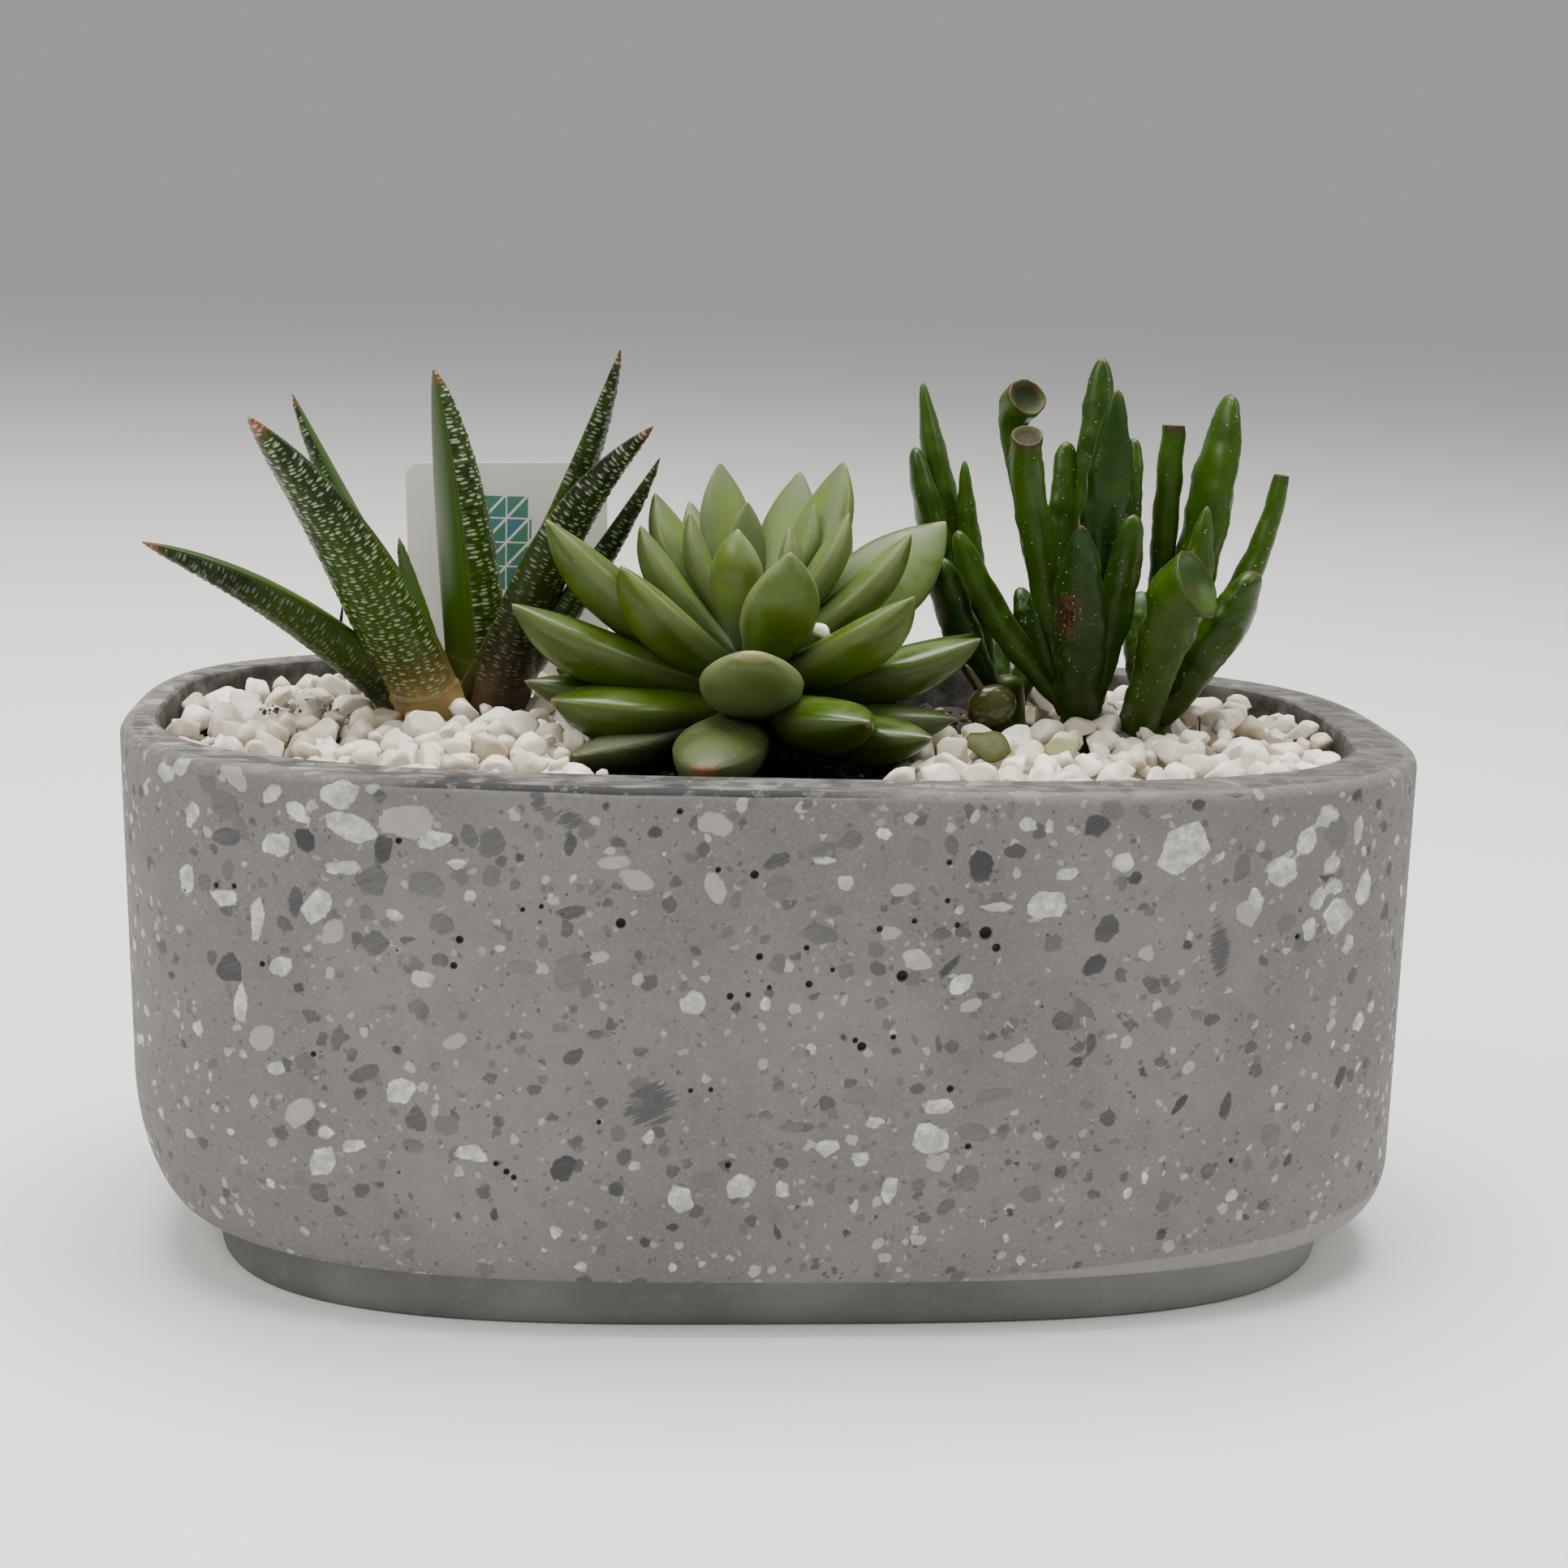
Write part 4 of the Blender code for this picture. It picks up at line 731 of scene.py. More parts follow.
def chip_density(x, z):
    """How closely chips lie at a place on the front, from 0 to 1, as the photo has them."""
    ends = min(1.0, max(0.0, (abs(x) - 0.055) / 0.06))
    top = min(1.0, max(0.0, (z - 0.055) / 0.04))
    low = 1.0 if z < 0.033 else 0.45
    if x > 0.03 and z < 0.06:
        low *= 0.55
    return min(1.0, max(0.8 * ends, 0.9 * top, low * 0.8))


def way_past(u, start, perimeter):
    """How far u is past a start on the way round, the short way."""
    return (u - start + perimeter / 2) % perimeter - perimeter / 2


def too_close(chip, u, z, size, gap, perimeter):
    """Whether a new chip at u, z would come within the gap of one already there."""
    return (abs(z - chip[1]) < size + chip[2] + gap
            and math.hypot(way_past(u, chip[0], perimeter), z - chip[1]) < 0.88 * (size + chip[2]) + gap)


def scattered_chips(rng, perimeter, chips):
    """Adds more chips, none overlapping. The front, whose larger chips are given, gets small ones only."""
    for size_low, size_high, tries in CHIP_SIZES:
        for _ in range(tries):
            u = rng.uniform(0, perimeter)
            z = rng.uniform(FOOT_HEIGHT + 0.003, POT_HEIGHT - 0.0015)
            size = rng.uniform(size_low, size_high) * MM
            if u < perimeter / 2 and size > LARGEST_FRONT_CHIP * MM:
                continue
            x = POT_LENGTH / 2 * math.cos(2 * math.pi * u / perimeter)
            density = chip_density(x, z)
            if rng.random() > density ** 1.5:
                continue
            gap = (0.3 + 1.3 * (1 - density)) * MM
            if any(too_close(chip, u, z, size, gap, perimeter) for chip in chips):
                continue
            pale = rng.random() < (0.62 if abs(x) > 0.075 else 0.42)
            tone = rng.uniform(0.58, 0.95) if pale else rng.choice([0.08, 0.18, 0.26, 0.34, 0.40])
            chips.append((u, z, size, rng.uniform(0.5, 0.95), rng.uniform(0, math.pi), tone))
    return chips


def paint_chips(chips, u, z, perimeter, rng):
    """How far each place is inside its nearest chip, in mm and below 0 inside, and that chip's tone."""
    edge = np.full(len(u), 9.0)
    tone = np.zeros(len(u))
    for chip_u, chip_z, size, squeeze, heading, chip_tone in chips:
        reach = size * 1.6 + 0.002
        near = np.nonzero(np.abs(z - chip_z) < reach)[0]
        near = near[np.abs(way_past(u[near], chip_u, perimeter)) < reach]
        if not len(near):
            continue
        across = way_past(u[near], chip_u, perimeter)
        rise = z[near] - chip_z
        a = (across * math.cos(heading) + rise * math.sin(heading)) / size
        b = (rise * math.cos(heading) - across * math.sin(heading)) / size / squeeze
        sides = rng.randint(5, 8)
        start = rng.uniform(0, 2 * math.pi)
        inside = np.full(len(near), -9.0)
        for side in range(sides):
            facing = start + 2 * math.pi * (side + rng.uniform(-0.28, 0.28)) / sides
            inside = np.maximum(inside, a * math.cos(facing) + b * math.sin(facing) - rng.uniform(0.70, 1.0))
        inside = inside * size / MM * squeeze ** 0.5
        closer = inside < edge[near]
        edge[near[closer]] = inside[closer]
        tone[near[closer]] = chip_tone
    return edge, tone


def terrazzo_pot():
    rng = random.Random(21)
    rows = pot_profile()
    rings = len(rows) - 1
    bm = painted_mesh("chip_edge", "chip_tone", "zone", "smudge", "pit")

    def shape(along, turn):
        row = np.rint(along * rings).astype(int)
        angle, u, perimeter = even_angles(turn)
        sizes, squareness, z, zone = (np.array(column, float)[row] for column in zip(*rows))
        inner = np.maximum(zone, 0)
        end_size = np.where(np.cos(angle) >= 0, sizes[:, 1], sizes[:, 0])
        x = end_size * signed_power(np.cos(angle), 2 / squareness)
        y = sizes[:, 2] * signed_power(np.sin(angle), 2 / squareness)
        places = np.stack([x + inner * CAVITY_SHIFT[0], y + inner * CAVITY_SHIFT[1], z], 1)
        chips = scattered_chips(rng, perimeter, seen_chips(places, u))
        edge, tone = paint_chips(chips, u, z, perimeter, rng)
        edge[(zone != 0) | (z >= POT_HEIGHT - 0.0003)] = 9.0
        return places, {"chip_edge": edge, "chip_tone": tone, "zone": zone, "smudge": paint_smudges(places)}

    wrapped(bm, rings, POINTS_AROUND, shape)
    sink_pits(bm)
    placed("terrazzo_body", bm, terrazzo(), "terrazzo_pot", sharp=40)


def sink_pits(bm):
    """Presses small air holes into the front, on faces made finer there."""
    tree = BVHTree.FromBMesh(bm)
    holes = []
    wanted = set()
    bm.faces.ensure_lookup_table()
    for px, py, size in SEEN_PITS:
        place, normal, _, distance = tree.ray_cast(CAMERA_PLACE, photo_ray(px, py))
        radius = size / PHOTO_FOCAL * distance
        holes.append((place, normal if normal.y < 0 else -normal, radius))
        wanted.update(bm.faces[hit[2]] for hit in tree.find_nearest_range(place, radius + 0.0004))
    edges = list({edge for face in wanted for edge in face.edges})
    made = bmesh.ops.subdivide_edges(bm, edges=edges, cuts=3, use_grid_fill=True)
    verts = set(only_verts(made["geom_inner"]))
    verts.update(vert for edge in made["geom"] if isinstance(edge, bmesh.types.BMEdge) for vert in edge.verts)
    pit = bm.verts.layers.float["pit"]
    for vert in verts:
        for middle, normal, radius in holes:
            share = (vert.co - middle).length / radius
            if share < 1:
                vert[pit] = min(1.0, 2.4 * (1 - share))
                vert.co -= normal * vert[pit] * radius * 0.9
                break


def terrazzo():
    """Ground concrete: chips in grey cement, pinholes, a browner rim and a smooth foot, with painted shade in
    the air holes and pinholes, on the dark inside and in a line under the rim.
    """
    made, feed, wire = new_material("terrazzo")
    side, depth, height = (wire.places.part(axis) for axis in "XYZ")
    zone = wire.painted("zone")
    cloudy = wire.noise(38.0, 3.0, 0.55)
    mottled = wire.noise(5.0, 4.0, 0.62)
    fine = wire.noise(0.7, 3.0, 0.7)
    # Grinding lines run along a slant.
    slant = wire.joined(side * 0.14 + height * 0.06, height * 1.7 - side * 0.75, depth * 0.2)
    ground = wire.noise(1.0, 2.0, 0.6, slant)
    wander = (wire.noise(0.9) - 0.5) * 0.7 + (wire.noise(2.8, 1.0) - 0.5) * 0.9
    edge = wire.painted("chip_edge") + wander
    chip = edge.fall(-0.10, 0.12)
    chip_rim = edge.ramp(-0.35, 0.0) * edge.fall(0.0, 0.3) * mottled.ramp(0.4, 0.6)
    body = chip.mix(cement(wire, cloudy, mottled, fine), chip_colour(wire, ground))
    body = (chip_rim * 0.35).mix(body, (0.10, 0.096, 0.092))
    smudged = wire.painted("smudge")
    smudge = (smudged * 0.5 + ground * 0.9).ramp(0.68, 0.86) * smudged.ramp(0.05, 0.4)
    body = (smudge * 0.85).mix(body, (0.055, 0.055, 0.058))
    # A smooth paler band low on the right, where the grinding stopped.
    band = (height + side * -0.065).fall(9.0, 9.5) * side.ramp(20.0, 60.0)
    body = (band * 0.85).mix(body, (0.235, 0.227, 0.218))
    rim = rim_colour(wire, side)
    body = (height.ramp(100.9, 101.9) * zone.ramp(0.0, 0.4, 1.0, 0.55) * 0.5).mix(body, rim)
    colour = zone.ramp(0.02, 0.10).mix(body, rim)
    # Painted shade: a thin dark line under the rim, on the left of the front.
    colour = (under_rim_shade(wire, side, depth, height) * zone.ramp(-0.1, 0.0)).mix(colour, (0.010, 0.010, 0.011))
    # Painted shade: the inside wall of the cavity is darkened.
    inside = mottled.ramp(0.35, 0.7).mix((0.030, 0.028, 0.026), (0.12, 0.108, 0.098))
    colour = zone.ramp(0.97, 1.0).mix(colour, inside)
    colour = zone.fall(-0.6, -0.3).mix(colour, foot_colour(wire, cloudy, side))
    # Painted shade: the air holes are darkened inside.
    colour = wire.painted("pit").ramp(0.05, 0.6).mix(colour, (0.014, 0.013, 0.012))
    # Painted shade: pinholes are dark dots, which also dip the bump.
    hole = pinholes(wire)
    colour = (hole * zone.ramp(-0.6, -0.3) * 0.9).mix(colour, (0.02, 0.019, 0.018))
    feed(Base_Color=colour, Roughness=chip.ramp(0.0, 1.0, 0.74, 0.52) + mottled * 0.1,
         Normal=(fine * 0.3 + mottled * 0.6 - hole * 3.0 - chip_rim * 0.6).bump(0.00024, 0.6))
    return made


def cement(wire, cloudy, mottled, fine):
    """Grey cement with sand and small specks of stone."""
    colour = cloudy.ramp(0.3, 0.7).mix((0.131, 0.121, 0.113), (0.174, 0.161, 0.151))
    colour = mottled.ramp(0.38, 0.72, 0.0, 0.5).mix(colour, (0.126, 0.119, 0.113))
    colour = fine.ramp(0.45, 0.75, 0.0, 0.4).mix(colour, (0.255, 0.242, 0.229))
    warp = wire.vector("SCALE", {0: wire.noise(2.2, 3.0, out=1), "Scale": 2.6})
    warped = wire.vector("ADD", {0: wire.places, 1: warp})
    for size, chosen, share, tone in SPECKS:
        turned = wire.node("VectorRotate", {"rotation_type": "EULER_XYZ"},
                           {"Vector": warped, "Rotation": (size, 1.7 * size, 0.6 * size)})
        kind = wire.cells(size, places=turned, out=1)
        grain = (wire.cells(size, places=turned) + kind.part("Y") * 0.16).fall(0.34, 0.40)
        picked = kind.part("X").fall(chosen - 0.01, chosen)
        colour = (grain * picked * share * mottled.ramp(0.30, 0.50, 0.6, 1.0)).mix(colour, tone)
    return colour


def chip_colour(wire, ground):
    """Chips, from near black slate to white marble."""
    tone = wire.painted("chip_tone")
    marbled = wire.noise(2.6, 5.0, 0.7)
    dark = (tone + ground * 0.22 + marbled * 0.14 - 0.18).ramp(0.0, 0.46)
    dark = dark.mix((0.020, 0.020, 0.022), (0.138, 0.132, 0.130))
    pale = marbled.ramp(0.38, 0.66).mix((0.31, 0.30, 0.285), (0.60, 0.585, 0.56))
    pale = tone.ramp(0.6, 0.95).mix((0.285, 0.27, 0.255), pale)
    return tone.ramp(0.42, 0.56).mix(dark, pale)


def rim_colour(wire, side):
    """The rim is browner, with ground streaks, dark chips and long dark stains."""
    streaked = wire.vector("MULTIPLY", {0: wire.places, 1: (0.22, 1.3, 1.0)})
    streaks = wire.noise(1.0, 3.0, 0.7, streaked).ramp(0.3, 0.7)
    colour = streaks.mix((0.078, 0.070, 0.062), (0.195, 0.176, 0.156))
    tone = wire.cells(4.4, out=1)
    chip = wire.cells(4.4, "DISTANCE_TO_EDGE").ramp(0.08, 0.13) * tone.part("X").ramp(0.50, 0.52)
    chip_tone = tone.part("Y").ramp(0.6, 0.7).mix((0.040, 0.038, 0.037), (0.28, 0.265, 0.25))
    colour = (chip * 0.85).mix(colour, chip_tone)
    stain = wire.noise(3.125, 4.0, 0.7, streaked)
    colour = (stain.ramp(0.51, 0.60) * 0.9).mix(colour, (0.042, 0.039, 0.037))
    return side.ramp(-40.0, 70.0, 0.08, 0.5).mix(colour, (0.050, 0.046, 0.042))


def under_rim_shade(wire, side, depth, height):
    """Painted shade: a thin dark line just under the rim, along the left of the front."""
    shade_line = (height + wire.noise(14.0) * 0.8).ramp(101.5, 101.8)
    shade_line = shade_line * (height + wire.noise(9.0) * 0.5).fall(102.45, 102.6)
    shade_line = shade_line * wire.noise(2.2, 3.0, 0.7).ramp(0.34, 0.46, 0.5, 1.0)
    return shade_line * side.ramp(-84.0, -60.0) * side.fall(-2.0, 26.0) * depth.fall(-40.0, -30.0)


def foot_colour(wire, cloudy, side):
    """The foot is darker and smooth, with pale scuffs, and paler to the right."""
    colour = cloudy.ramp(0.35, 0.65).mix((0.104, 0.102, 0.099), (0.150, 0.147, 0.142))
    colour = wire.noise(7.0, 5.0, 0.7).ramp(0.5, 0.75, 0.0, 0.6).mix(colour, (0.17, 0.166, 0.158))
    return side.ramp(30.0, 115.0, 0.0, 0.7).mix(colour, (0.215, 0.212, 0.205))


def pinholes(wire):
    # Dots where pinholes are, whose dark colour is painted shade.
    hole = wire.cells(3.1).fall(0.07, 0.12) * wire.cells(3.1, out=1).part("Y").ramp(0.80, 0.86)
    return hole * wire.noise(24.0, 1.0).ramp(0.44, 0.56)


# Pebbles and soil

def stone(whole, rng, place, size, squash, level, facets=7, worn=(0.62, 0.88), **paints):
    """Adds a pebble: a ball worn flat on a few sides, squashed, turned and painted all over."""
    bm = small_mesh(whole)
    made = bmesh.ops.create_icosphere(bm, subdivisions=level, radius=1.0)["verts"]
    planes = []
    for _ in range(facets):
        normal = Vector((rng.gauss(0, 1), rng.gauss(0, 1), rng.gauss(0, 1))).normalized()
        planes.append((normal, rng.uniform(*worn)))
    seed = Vector((rng.uniform(0, 90), rng.uniform(0, 90), rng.uniform(0, 90)))
    shape = Matrix.Diagonal((1.0, rng.uniform(0.6, 0.92), squash))
    turn = (Matrix.Rotation(rng.uniform(0, math.pi), 3, "Z") @ Matrix.Rotation(rng.gauss(0, 0.35), 3, "X")
            @ Matrix.Rotation(rng.gauss(0, 0.3), 3, "Y"))
    for vert in made:
        point = vert.co.copy()
        for normal, reach in planes:
            point -= normal * max(0.0, point.dot(normal) - reach) * 0.93
        point *= 1 + 0.12 * noise.noise(point * 1.3 + seed) + 0.03 * noise.noise(point * 4.0 + seed)
        vert.co = turn @ (shape @ point) * size + Vector(place)
    paint(bm, made, paints)
    add_to(whole, bm)


def inside_oval(x, y, oval, share=1.0):
    (middle_x, middle_y), (reach_x, reach_y) = oval
    return math.hypot((x - middle_x) / (share * reach_x), (y - middle_y) / (share * reach_y)) < 1


def settle_stones(rng, count, low, high, allowed, already):
    """Drops stones one by one onto those already there, where they come to lie lowest. A stone is its
    place and its size."""
    spots = [(ZEBRA_AXIS, STEM_GAPS["zebra"]), (ROSETTE_AXIS, STEM_GAPS["rosette"])]
    spots += [(axis, STEM_GAPS["finger"]) for axis in FINGER_AXES.values()]
    stems = [(axis[0] * MM, axis[1] * MM, radius * MM) for axis, radius in spots]
    (mound_x, mound_y), (reach_x, reach_y), mound_height = MOUND
    laid = list(already)
    for _ in range(count):
        size = rng.uniform(low, high)
        best = None
        for _ in range(14):
            x = rng.uniform(*DROP_X)
            y = rng.uniform(*DROP_Y)
            if cavity_reach(x, y, size * 0.9) > 1 or not allowed(x, y):
                continue
            if any(math.hypot(x - a, y - b) < reach + 0.75 * size for a, b, reach in stems):
                continue
            mound = mound_height * math.exp(-((x - mound_x) / reach_x) ** 2 - ((y - mound_y) / reach_y) ** 2)
            z = BED_BOTTOM + 0.55 * size + mound
            for a, b, c, other in laid:
                flat = (x - a) ** 2 + (y - b) ** 2
                reach = 0.86 * (size + other)
                if flat < reach * reach:
                    z = max(z, c + 0.62 * math.sqrt(reach * reach - flat))
            if best is None or z < best[2]:
                best = (x, y, z, size)
        if best and best[2] + 0.5 * size < POT_HEIGHT - 0.0002:
            laid.append(best)
    return laid


def special_stones(stones):
    """The index of the stone in view at each special place, with its colour number."""
    chosen = {}
    for px, py, colour in SPECIAL_PEBBLES:
        ray = photo_ray(px, py)
        hits = []
        for i, (x, y, z, size) in enumerate(stones):
            beside = Vector((x, y, z)) - CAMERA_PLACE
            away = beside.dot(ray)
            if (beside - ray * away).length < 0.9 * size:
                hits.append((away, i))
        if hits:
            chosen[min(hits)[1]] = colour
    return chosen


def white_pebbles():
    rng = random.Random(5)
    low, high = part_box("fallen_flat_leaf")
    leaf_x = (low[0] + high[0]) / 2

    def on_bed(x, y):
        near_leaf = abs(x - leaf_x) < 0.006 and abs(y - low[1]) < 0.0045
        return not (inside_oval(x, y, BARE_PATCH, 1.06) or inside_oval(x, y, DARK_GAP) or near_leaf)

    stones = []
    for count, smallest, largest in PEBBLE_SIZES:
        stones = settle_stones(rng, count, smallest * MM, largest * MM, on_bed, stones)
    special = special_stones(stones)
    bm = painted_mesh("shade", "tint")
    for i, (x, y, z, size) in enumerate(stones):
        size *= 1.3 if i in special else 1.0
        fine = z > FINE_ABOVE and size > FINE_RADIUS
        stone(bm, rng, (x, y, z), size * 1.18, rng.uniform(0.55, 0.88), 3 if fine else 2,
              rng.randint(9, 14), (0.50, 0.80), shade=rng.random(), tint=special.get(i, rng.random() * 0.97))
    placed("white_pebble_bed", bm, pebble_finish(), "white_pebbles", sharp=60)


def pebble_finish():
    """White and cream quartz: sugary, a little see-through, some honey, pale green or grey."""
    made, feed, wire = new_material("white_stone", Subsurface_Weight=0.12, Subsurface_Scale=0.002)
    tint = wire.painted("tint")
    cloudy = wire.noise(3.5, 4.0, 0.6)
    fine = wire.noise(0.5, 3.0, 0.7)
    colour = wire.painted("shade").mix((0.60, 0.54, 0.44), (0.90, 0.85, 0.76))
    colour = tint.ramp(0.72, 0.90, 0.0, 0.65).mix(colour, (0.50, 0.42, 0.31))
    colour = tint.ramp(0.92, 0.945, 0.0, 0.6).mix(colour, (0.31, 0.285, 0.24))
    colour = cloudy.ramp(0.46, 0.72, 0.0, 0.5).mix(colour, (0.47, 0.385, 0.275))
    colour = fine.ramp(0.60, 0.72, 0.0, 0.3).mix(colour, (0.42, 0.36, 0.27))
    for number, own in ((1.5, (0.62, 0.59, 0.22)), (2.5, (0.60, 0.67, 0.36)), (3.5, (0.30, 0.285, 0.26))):
        colour = tint.ramp(number - 0.1, number + 0.1).mix(colour, own)
    feed(Base_Color=colour, Roughness=fine.ramp(0.3, 0.7, 0.42, 0.66),
         Normal=(cloudy * 0.6 + fine * 0.5).bump(0.00032, 0.6))
    return made


def soil_ground():
    """Lumpy ground that fills the pot's cavity, lower and paler where pebbles cover it."""
    bm = painted_mesh("crumb")
    made = bmesh.ops.create_grid(bm, x_segments=200, y_segments=96, size=1.0)["verts"]
    for vert in made:
        vert.co.x = vert.co.x * SOIL_REACH[0] + CAVITY_SHIFT[0]
        vert.co.y = vert.co.y * SOIL_REACH[1] + CAVITY_SHIFT[1]
    outside = [vert for vert in made if cavity_reach(vert.co.x, vert.co.y, 0.0012) > 1]
    bmesh.ops.delete(bm, geom=outside, context="VERTS")
    crumb = bm.verts.layers.float["crumb"]
    for vert in bm.verts:
        place = vert.co / MM
        rise = (1.1 * noise.noise(place * 0.16) + 0.8 * noise.noise(place * 0.45)
                + 0.35 * noise.noise(place * 1.1))
        bare = (inside_oval(vert.co.x, vert.co.y, BARE_PATCH, 1.1)
                or inside_oval(vert.co.x, vert.co.y, DARK_GAP))
        vert.co.z = SOIL_TOP + (rise + (0.6 if bare else -1.2)) * MM
        vert[crumb] = 0.0 if bare else -1.0
    rim = [edge for edge in bm.edges if edge.is_boundary]
    for vert in only_verts(bmesh.ops.extrude_edge_only(bm, edges=rim)["geom"]):
        vert.co.z = SOIL_BOTTOM
    bmesh.ops.holes_fill(bm, edges=[edge for edge in bm.edges if edge.is_boundary], sides=0)
    return bm


def dark_soil():
    """Potting soil with loose crumbs where it is bare, and some spilled on the pebbles."""
    rng = random.Random(8)
    bm = soil_ground()
    tree = BVHTree.FromBMesh(bm)
    for centre, radii in [BARE_PATCH] * BARE_CRUMBS + [DARK_GAP] * GAP_CRUMBS:
        turn = rng.uniform(0, 2 * math.pi)
        far = math.sqrt(rng.random()) * 1.12
        x = centre[0] + far * radii[0] * math.cos(turn)
        y = centre[1] + far * radii[1] * math.sin(turn)
        if cavity_reach(x, y, 0.0025) > 1:
            continue
        hit = tree.ray_cast(Vector((x, y, 0.12)), Vector((0, 0, -1)))
        if hit[0] is None:
            continue
        size = rng.choice(CRUMB_SIZES) * MM * rng.uniform(0.8, 1.2)
        stone(bm, rng, hit[0] + Vector((0, 0, 0.25 * size)), size, rng.uniform(0.5, 0.9),
              2 if size > 0.001 else 1, crumb=rng.random())
    for px, py in SOIL_SPILLS:
        middle = seen_at(px, py, SPILL_DEPTH)
        for _ in range(SPILL_CRUMBS):
            aside = np.array([rng.gauss(mean, spread) for mean, spread in SPILL_SPREAD])
            place = Vector(middle + aside) * MM
            stone(bm, rng, place, rng.uniform(0.25, 0.8) * MM, rng.uniform(0.5, 0.9), 1,
                  crumb=rng.choice([0.86, 0.90, 0.94, 0.97]))
    splinter(bm, DARK_SPLINTER, 0.3, crumb=0.0)
    in_order(bm)
    placed("dark_soil", bm, soil_finish(), "soil")


def soil_finish():
    """Black soil. Crumbs near 1 are brown or straw, and ground at -1 is paler."""
    made, feed, wire = new_material("potting_soil")
    crumb = wire.painted("crumb")
    lumps = wire.noise(1.6, 5.0, 0.7)
    colour = lumps.ramp(0.35, 0.7).mix((0.006, 0.005, 0.004), (0.026, 0.019, 0.013))
    colour = crumb.ramp(0.76, 0.86, 0.0, 0.9).mix(colour, (0.105, 0.068, 0.040))
    colour = crumb.ramp(0.955, 0.965, 0.0, 0.8).mix(colour, (0.24, 0.21, 0.16))
    # Ground at -1, under the pebbles, is paler.
    paler_ground = crumb.ramp(-0.9, -0.2, 0.9, 0.0) * lumps.ramp(0.30, 0.45, 0.3, 1.0)
    colour = paler_ground.mix(colour, (0.36, 0.31, 0.24))
    feed(Base_Color=colour, Roughness=lumps.ramp(0.3, 0.7, 0.85, 0.98), Normal=lumps.bump(0.0006, 0.8))
    return made


# Plants

def leaf_line(axis, spec, t, reach=ROOT_RADIUS):
    """Points at shares t along a leaf's curved middle line, its sideways and its upward directions."""
    azimuth, rise, bend = (math.radians(angle) for angle in spec[:3])
    fine = np.linspace(0, 1, 161)
    turn = rise + bend * fine ** CURL
    ahead, up = (np.interp(t, fine, np.concatenate([[0], np.cumsum((way[1:] + way[:-1]) / 2)]) / 160)
                 for way in (np.cos(turn), np.sin(turn)))
    turn = (rise + bend * t ** CURL)[:, None]
    outward = np.array([math.cos(azimuth), math.sin(azimuth), 0])
    upward = np.array([0, 0, 1.0])
    root = np.array([axis[0] + reach * outward[0], axis[1] + reach * outward[1], spec[6]])
    points = root + spec[3] * (ahead[:, None] * outward + up[:, None] * upward)
    side = np.array([-outward[1], outward[0], 0])
    return points, np.broadcast_to(side, points.shape), np.cos(turn) * upward - np.sin(turn) * outward


def plain_stem(bm, axis, sizes, **paints):
    """A stem from inside the soil to its top."""
    foot_radius, top_radius, top = sizes
    shares = (0.0, 0.02, 0.4, 0.75, 0.95, 1.0)
    radii = (0.0, 0.7 * foot_radius, foot_radius, 0.9 * foot_radius, top_radius, 0.0)
    heights = (STEM_BOTTOM, STEM_BOTTOM, BED_TOP, (BED_TOP + top) / 2, top, top + 1)

    def shape(along, turn):
        radius = np.interp(along, shares, radii)
        z = np.interp(along, shares, heights)
        return np.stack([axis[0] + radius * np.cos(turn), axis[1] + radius * np.sin(turn), z], 1) * MM, paints

    wrapped(bm, 16, 20, shape)


def rosette_leaf(bm, spec, roll, blunt, rng, **paints):
    def shape(along, turn):
        t = 1 - (1 - past_cap(along, ROSETTE_RINGS)) ** 1.35
        points, level_side, level_normal = leaf_line(ROSETTE_AXIS, spec, t)
        side = level_side * math.cos(roll) + level_normal * math.sin(roll)
        normal = level_normal * math.cos(roll) - level_side * math.sin(roll)
        end = np.where(t > 0.6, blunt, 1.0)
        wide = eased(ROSETTE_SHARES, ROSETTE_WIDTHS, t) ** end * (along > 0)
        thick = eased(ROSETTE_SHARES, ROSETTE_THICKS, t) ** end * (along > 0)
        across = np.cos(turn)
        upper = np.sin(turn) > 0
        swell = np.abs(np.sin(turn))
        through = np.where(upper, 0.30 * swell ** 1.1, -0.70 * swell ** 0.9)
        places = (points + side * (across * wide * width / 2 + bent * t ** 2 * length)[:, None]
                  + normal * (through * thick * thickness)[:, None])
        painted = {"along": t, "across": across, "above": upper * swell, "edge": np.abs(across) ** 6}
        return places * MM, {**painted, **paints}

    length, width, thickness = spec[3:6]
    bent = rng.uniform(-0.012, 0.012)
    paints["tone"] = rng.random()
    wrapped(bm, ROSETTE_RINGS, 28, shape)


def rosette_plant():
    rng = random.Random(14)
    bm = painted_mesh("along", "across", "above", "edge", "tone", "young", "dusty", "orange", "frost")
    for i, spec in enumerate(ROSETTE_LEAVES):
        young = PALE_LEAVES.get(i, min(1.0, max(0.0, (spec[1] - 5) / 50)))
        roll = math.radians(ROLLED_LEAVES.get(i, 0.0))
        rosette_leaf(bm, spec, roll, BLUNT_LEAVES.get(i, 1.0), rng, young=young,
                     dusty=DUSTY_LEAVES.get(i, 0.0), orange=i == ORANGE_TIP, frost=i in PALE_LEAVES)
    plain_stem(bm, ROSETTE_AXIS, STEMS["rosette"], young=0.0, tone=0.5, along=0.0)
    placed("rosette_leaves", bm, rosette_finish(), "rosette_plant")


